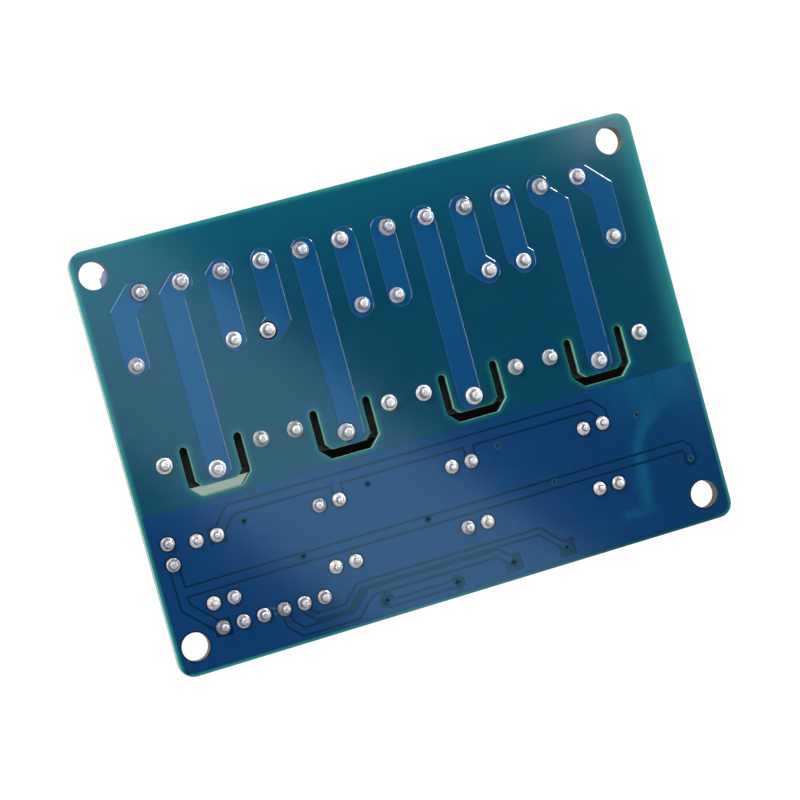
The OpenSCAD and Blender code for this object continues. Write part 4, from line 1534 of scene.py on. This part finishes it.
@dataclass
class Studio:
    """A pale floor with a painted shadow under the board, soft lights and the camera."""

    camera_place: Point = (-76.627, 9.878, 316.646)
    camera_turn: Point = (1.8313, -14.0845, -15.7541)
    lens: float = 115.606
    floor_half: float = 3.0
    # Painted shadow: the dark patch painted on the floor under the board, with a painted lit patch at its
    # left end.
    shade_half: tuple[float, float] = (38.0 * MM, 14.0 * MM)
    shade_middle: tuple[float, float] = (5.0 * MM, 2.0 * MM)
    shade_fade: float = 5.0 * MM
    lit_x: float = -14.0 * MM
    lit_tint: Colour = (0.32, 0.42, 0.37)
    shade_tint: Colour = (0.002, 0.002, 0.002)
    seen_gain: float = 1.06
    seen_share: float = 0.93
    lamps: tuple[SoftBox, ...] = (
        SoftBox("key", (-240, 330, 420), (0, 0, 10), (360, 360), 2.2, gloss_only=False),
        SoftBox("side", (430, -60, 230), (0, 0, 10), (260, 260), 0.7, gloss_only=False),
        SoftBox("band", (44, -18, 317), (44, -18, 0), (44, 280), 0.085, 38.83, (0.40, 0.80, 1.0)),
        SoftBox("right_wall", (182, 10, 317), (182, 10, 0), (70, 100), 0.016, 0.0, (0.3, 0.95, 1.0)),
        SoftBox("corner", (176, 74, 317), (176, 74, 0), (84, 76), 0.10, 0.0, (0.9, 1.0, 1.0)),
        SoftBox("glint", (265, 170, 102), (22, 14, 17), (70, 60), 0.5),
    )

    def floor(self) -> Piece:
        """Lays the floor: white to the camera, with a painted shadow under the board that ends in a painted
        lit patch at its left, and a faint cast shadow.

        Returns:
            The floor.
        """
        Bench.clear()
        bpy.ops.mesh.primitive_plane_add(size=2 * self.floor_half, location=(0, 0, 0))
        obj = bpy.context.object
        obj.name = "studio_floor"
        paint = Paint("studio_floor")
        x, y, _ = paint.axes()
        # Painted shadow: the floor is painted dark under the board, both to the camera and in its own colour.
        aside = paint.math("ABSOLUTE", paint.math("SUBTRACT", x, self.shade_middle[0]))
        across = paint.ramp(aside, self.shade_half[0], self.shade_half[0] - self.shade_fade)
        ahead = paint.math("ABSOLUTE", paint.math("SUBTRACT", y, self.shade_middle[1]))
        along = paint.ramp(ahead, self.shade_half[1], self.shade_half[1] - self.shade_fade)
        dark = paint.math("MULTIPLY", across, along)
        # Painted light: the left end of the painted shadow is a lighter mint patch.
        inner = paint.ramp(x, self.lit_x - 2 * MM, self.lit_x + 2 * MM)
        under = paint.mix(inner, self.lit_tint, self.shade_tint)
        nodes, links = paint.tree.nodes, paint.tree.links
        path = nodes.new("ShaderNodeLightPath")
        seen = paint.math("MAXIMUM", path.outputs["Is Camera Ray"], path.outputs["Is Transmission Ray"])
        seen = paint.math("MAXIMUM", seen, path.outputs["Is Glossy Ray"])
        glow = nodes.new("ShaderNodeEmission")
        links.new(paint.mix(dark, (1.0, 1.0, 1.0), under), glow.inputs["Color"])
        glow.inputs["Strength"].default_value = self.seen_gain
        blend = nodes.new("ShaderNodeMixShader")
        links.new(paint.math("MULTIPLY", seen, self.seen_share), blend.inputs[0])
        links.new(paint.shader.outputs[0], blend.inputs[1])
        links.new(glow.outputs[0], blend.inputs[2])
        out = next(n for n in nodes if n.type == "OUTPUT_MATERIAL")
        links.new(blend.outputs[0], out.inputs["Surface"])
        # Painted shadow: the floor's own colour is dark under the board.
        paint.set(Base_Color=paint.mix(dark, (0.82, 0.82, 0.82), (0.04, 0.04, 0.04)))
        paint.set(Roughness=0.9, Specular_IOR_Level=0.0)
        obj.data.materials.append(paint.material)
        return obj

    def surround(self) -> None:
        """Lights the scene from all round: bright walls, a darker ceiling over the camera."""
        world = bpy.data.worlds.new("studio_world")
        bpy.context.scene.world = world
        world.use_nodes = True
        nodes, links = world.node_tree.nodes, world.node_tree.links
        nodes.clear()
        where = nodes.new("ShaderNodeTexCoord")
        split = nodes.new("ShaderNodeSeparateXYZ")
        links.new(where.outputs["Generated"], split.inputs[0])
        fall = nodes.new("ShaderNodeMapRange")
        fall.interpolation_type = "SMOOTHSTEP"
        for name, value in (("From Min", 0.58), ("From Max", 0.91), ("To Min", 0.85), ("To Max", 0.015)):
            fall.inputs[name].default_value = value
        links.new(split.outputs[2], fall.inputs["Value"])
        path = nodes.new("ShaderNodeLightPath")
        pick = nodes.new("ShaderNodeMix")
        pick.data_type = "FLOAT"
        links.new(path.outputs["Is Camera Ray"], pick.inputs[0])
        links.new(fall.outputs["Result"], pick.inputs[2])
        pick.inputs[3].default_value = 1.0
        back = nodes.new("ShaderNodeBackground")
        back.inputs["Color"].default_value = (1, 1, 1, 1)
        links.new(pick.outputs[0], back.inputs["Strength"])
        out = nodes.new("ShaderNodeOutputWorld")
        links.new(back.outputs[0], out.inputs["Surface"])

    def camera(self) -> Piece:
        """Sets the camera over the left of the board, looking down and to the right.

        Returns:
            The camera.
        """
        data = bpy.data.cameras.new("camera")
        data.lens = self.lens
        data.sensor_width = 36.0
        data.clip_start, data.clip_end = 0.01, 20.0
        obj = bpy.data.objects.new("camera", data)
        bpy.context.scene.collection.objects.link(obj)
        obj.location = Vector(self.camera_place) * MM
        obj.rotation_euler = Euler([math.radians(a) for a in self.camera_turn], "XYZ")
        bpy.context.scene.camera = obj
        return obj

    def build(self) -> None:
        """Sets up the whole studio."""
        self.floor()
        self.surround()
        for lamp in self.lamps:
            lamp.hang()
        self.camera()
        bpy.context.scene.view_settings.view_transform = "Standard"


# ---- whole module --------------------------------------------------------------------


def main() -> None:
    """Builds every sub-assembly in order and reports each one."""
    logging.basicConfig(level=logging.INFO, format="%(name)s: %(message)s")
    tinned = Metal("tinned_wire", (0.80, 0.80, 0.80), (0.62, 0.60, 0.57), 0.28).material()
    brass = Metal("tinned_brass", (0.83, 0.74, 0.50), (0.66, 0.55, 0.33), 0.3).material()
    zinc = Metal("zinc_screw", (0.82, 0.83, 0.85), (0.68, 0.68, 0.66), 0.26, (6.0, 6.0, 1.0)).material()
    strip = Metal("plated_strip", (0.74, 0.74, 0.76), (0.60, 0.60, 0.60), 0.32, (1.0, 8.0, 1.0)).material()
    gilt = Metal("gilt_wire", (0.88, 0.72, 0.36), (0.74, 0.58, 0.28), 0.24).material()
    resin = Plastic("black_resin", (0.016, 0.017, 0.019), (0.026, 0.026, 0.028), 0.5).material()
    nylon = Plastic("black_nylon", (0.012, 0.012, 0.013), (0.022, 0.022, 0.022), 0.42).material()
    cover = Plastic("relay_plastic", (0.011, 0.012, 0.014), (0.018, 0.019, 0.021), 0.34, 5000.0).material()
    potting = Plastic("relay_potting", (0.006, 0.007, 0.008), (0.012, 0.013, 0.014), 0.6).material()
    housing = Plastic("terminal_plastic", (0.030, 0.145, 0.46), (0.024, 0.12, 0.39), 0.38, 6500.0).material()
    cap = Plastic("jumper_plastic", (0.62, 0.42, 0.010), (0.52, 0.34, 0.008), 0.34).material()
    lamp = Lamp().material()
    solder = Solder("grey_solder").material()
    bright = Solder("bright_solder", (0.82, 0.805, 0.80), (0.62, 0.60, 0.60), (0.34, 0.30, 0.28)).material()

    rings = ViaRings()
    log.info("vias found: %d", len(rings.vias))
    board = Laminate(rings.vias)
    half_length, half_width = board.high.x, board.high.y
    mask = MaskWithPaintedLight(
        "mask_on_laminate", half_length, half_width, board.plane_top, board.relay_x, board.common_y
    )
    copper = CopperMaskWithPaintedLight("mask_on_copper", board.plane_top, half_length, half_width)
    board.build(mask.material(), tinned)
    log.info("board built")
    CopperSkins().build(copper.material())
    rings.build()
    log.info("copper built")
    header_low, header_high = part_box("input_header")
    jumper_low, jumper_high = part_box("jumper_header")

    def on_header(joint: Solid) -> bool:
        """Tells the headers' joints from the optocouplers'.

        Args:
            joint: The joint.

        Returns:
            Whether it belongs to one of the two pin headers.
        """
        spot = joint.middle
        on_input = header_low.x < spot.x < header_high.x and header_low.y < spot.y < header_high.y
        return on_input or (jumper_low.x < spot.x < jumper_high.x and jumper_low.y < spot.y < jumper_high.y)

    def off_header(joint: Solid) -> bool:
        """Whether a joint belongs to neither of them."""
        return not on_header(joint)

    tipped, full, flat = JointShape.TIPPED, JointShape.FULL, JointShape.FLAT
    kinds = [
        SolderJoints("solder_terminals", "terminal_joints", 1.27 * MM, (full, tipped), 3, wobble=0.08 * MM),
        SolderJoints("solder_relays", "relay_joints", 1.26 * MM, (tipped, full), 5),
        SolderJoints("solder_small", "header_joints", 1.27 * MM, (tipped, tipped, full), 8, on_header),
        SolderJoints("solder_small", "opto_joints", 0.99 * MM, (flat, flat, full), 11, off_header),
    ]
    for kind, metal in zip(kinds, (solder, bright, solder, bright)):
        kind.build(metal)
        log.info("%s built", kind.name)
    RelayRow().build(cover, potting, tinned)
    TerminalBlocks().build(housing, brass)
    for number in range(1, WAYS + 1):
        TerminalScrew(number).build(zinc)
        ClampCage(number).build(strip)
    log.info("relays, blocks, screws and clamps built")
    CouplersAndHeaders().build(resin, tinned, nylon, gilt, cap)
    SmallParts(board.low.z).build(resin, lamp, tinned)
    log.info("component side built")
    Studio().build()


if __name__ == "__main__":
    main()
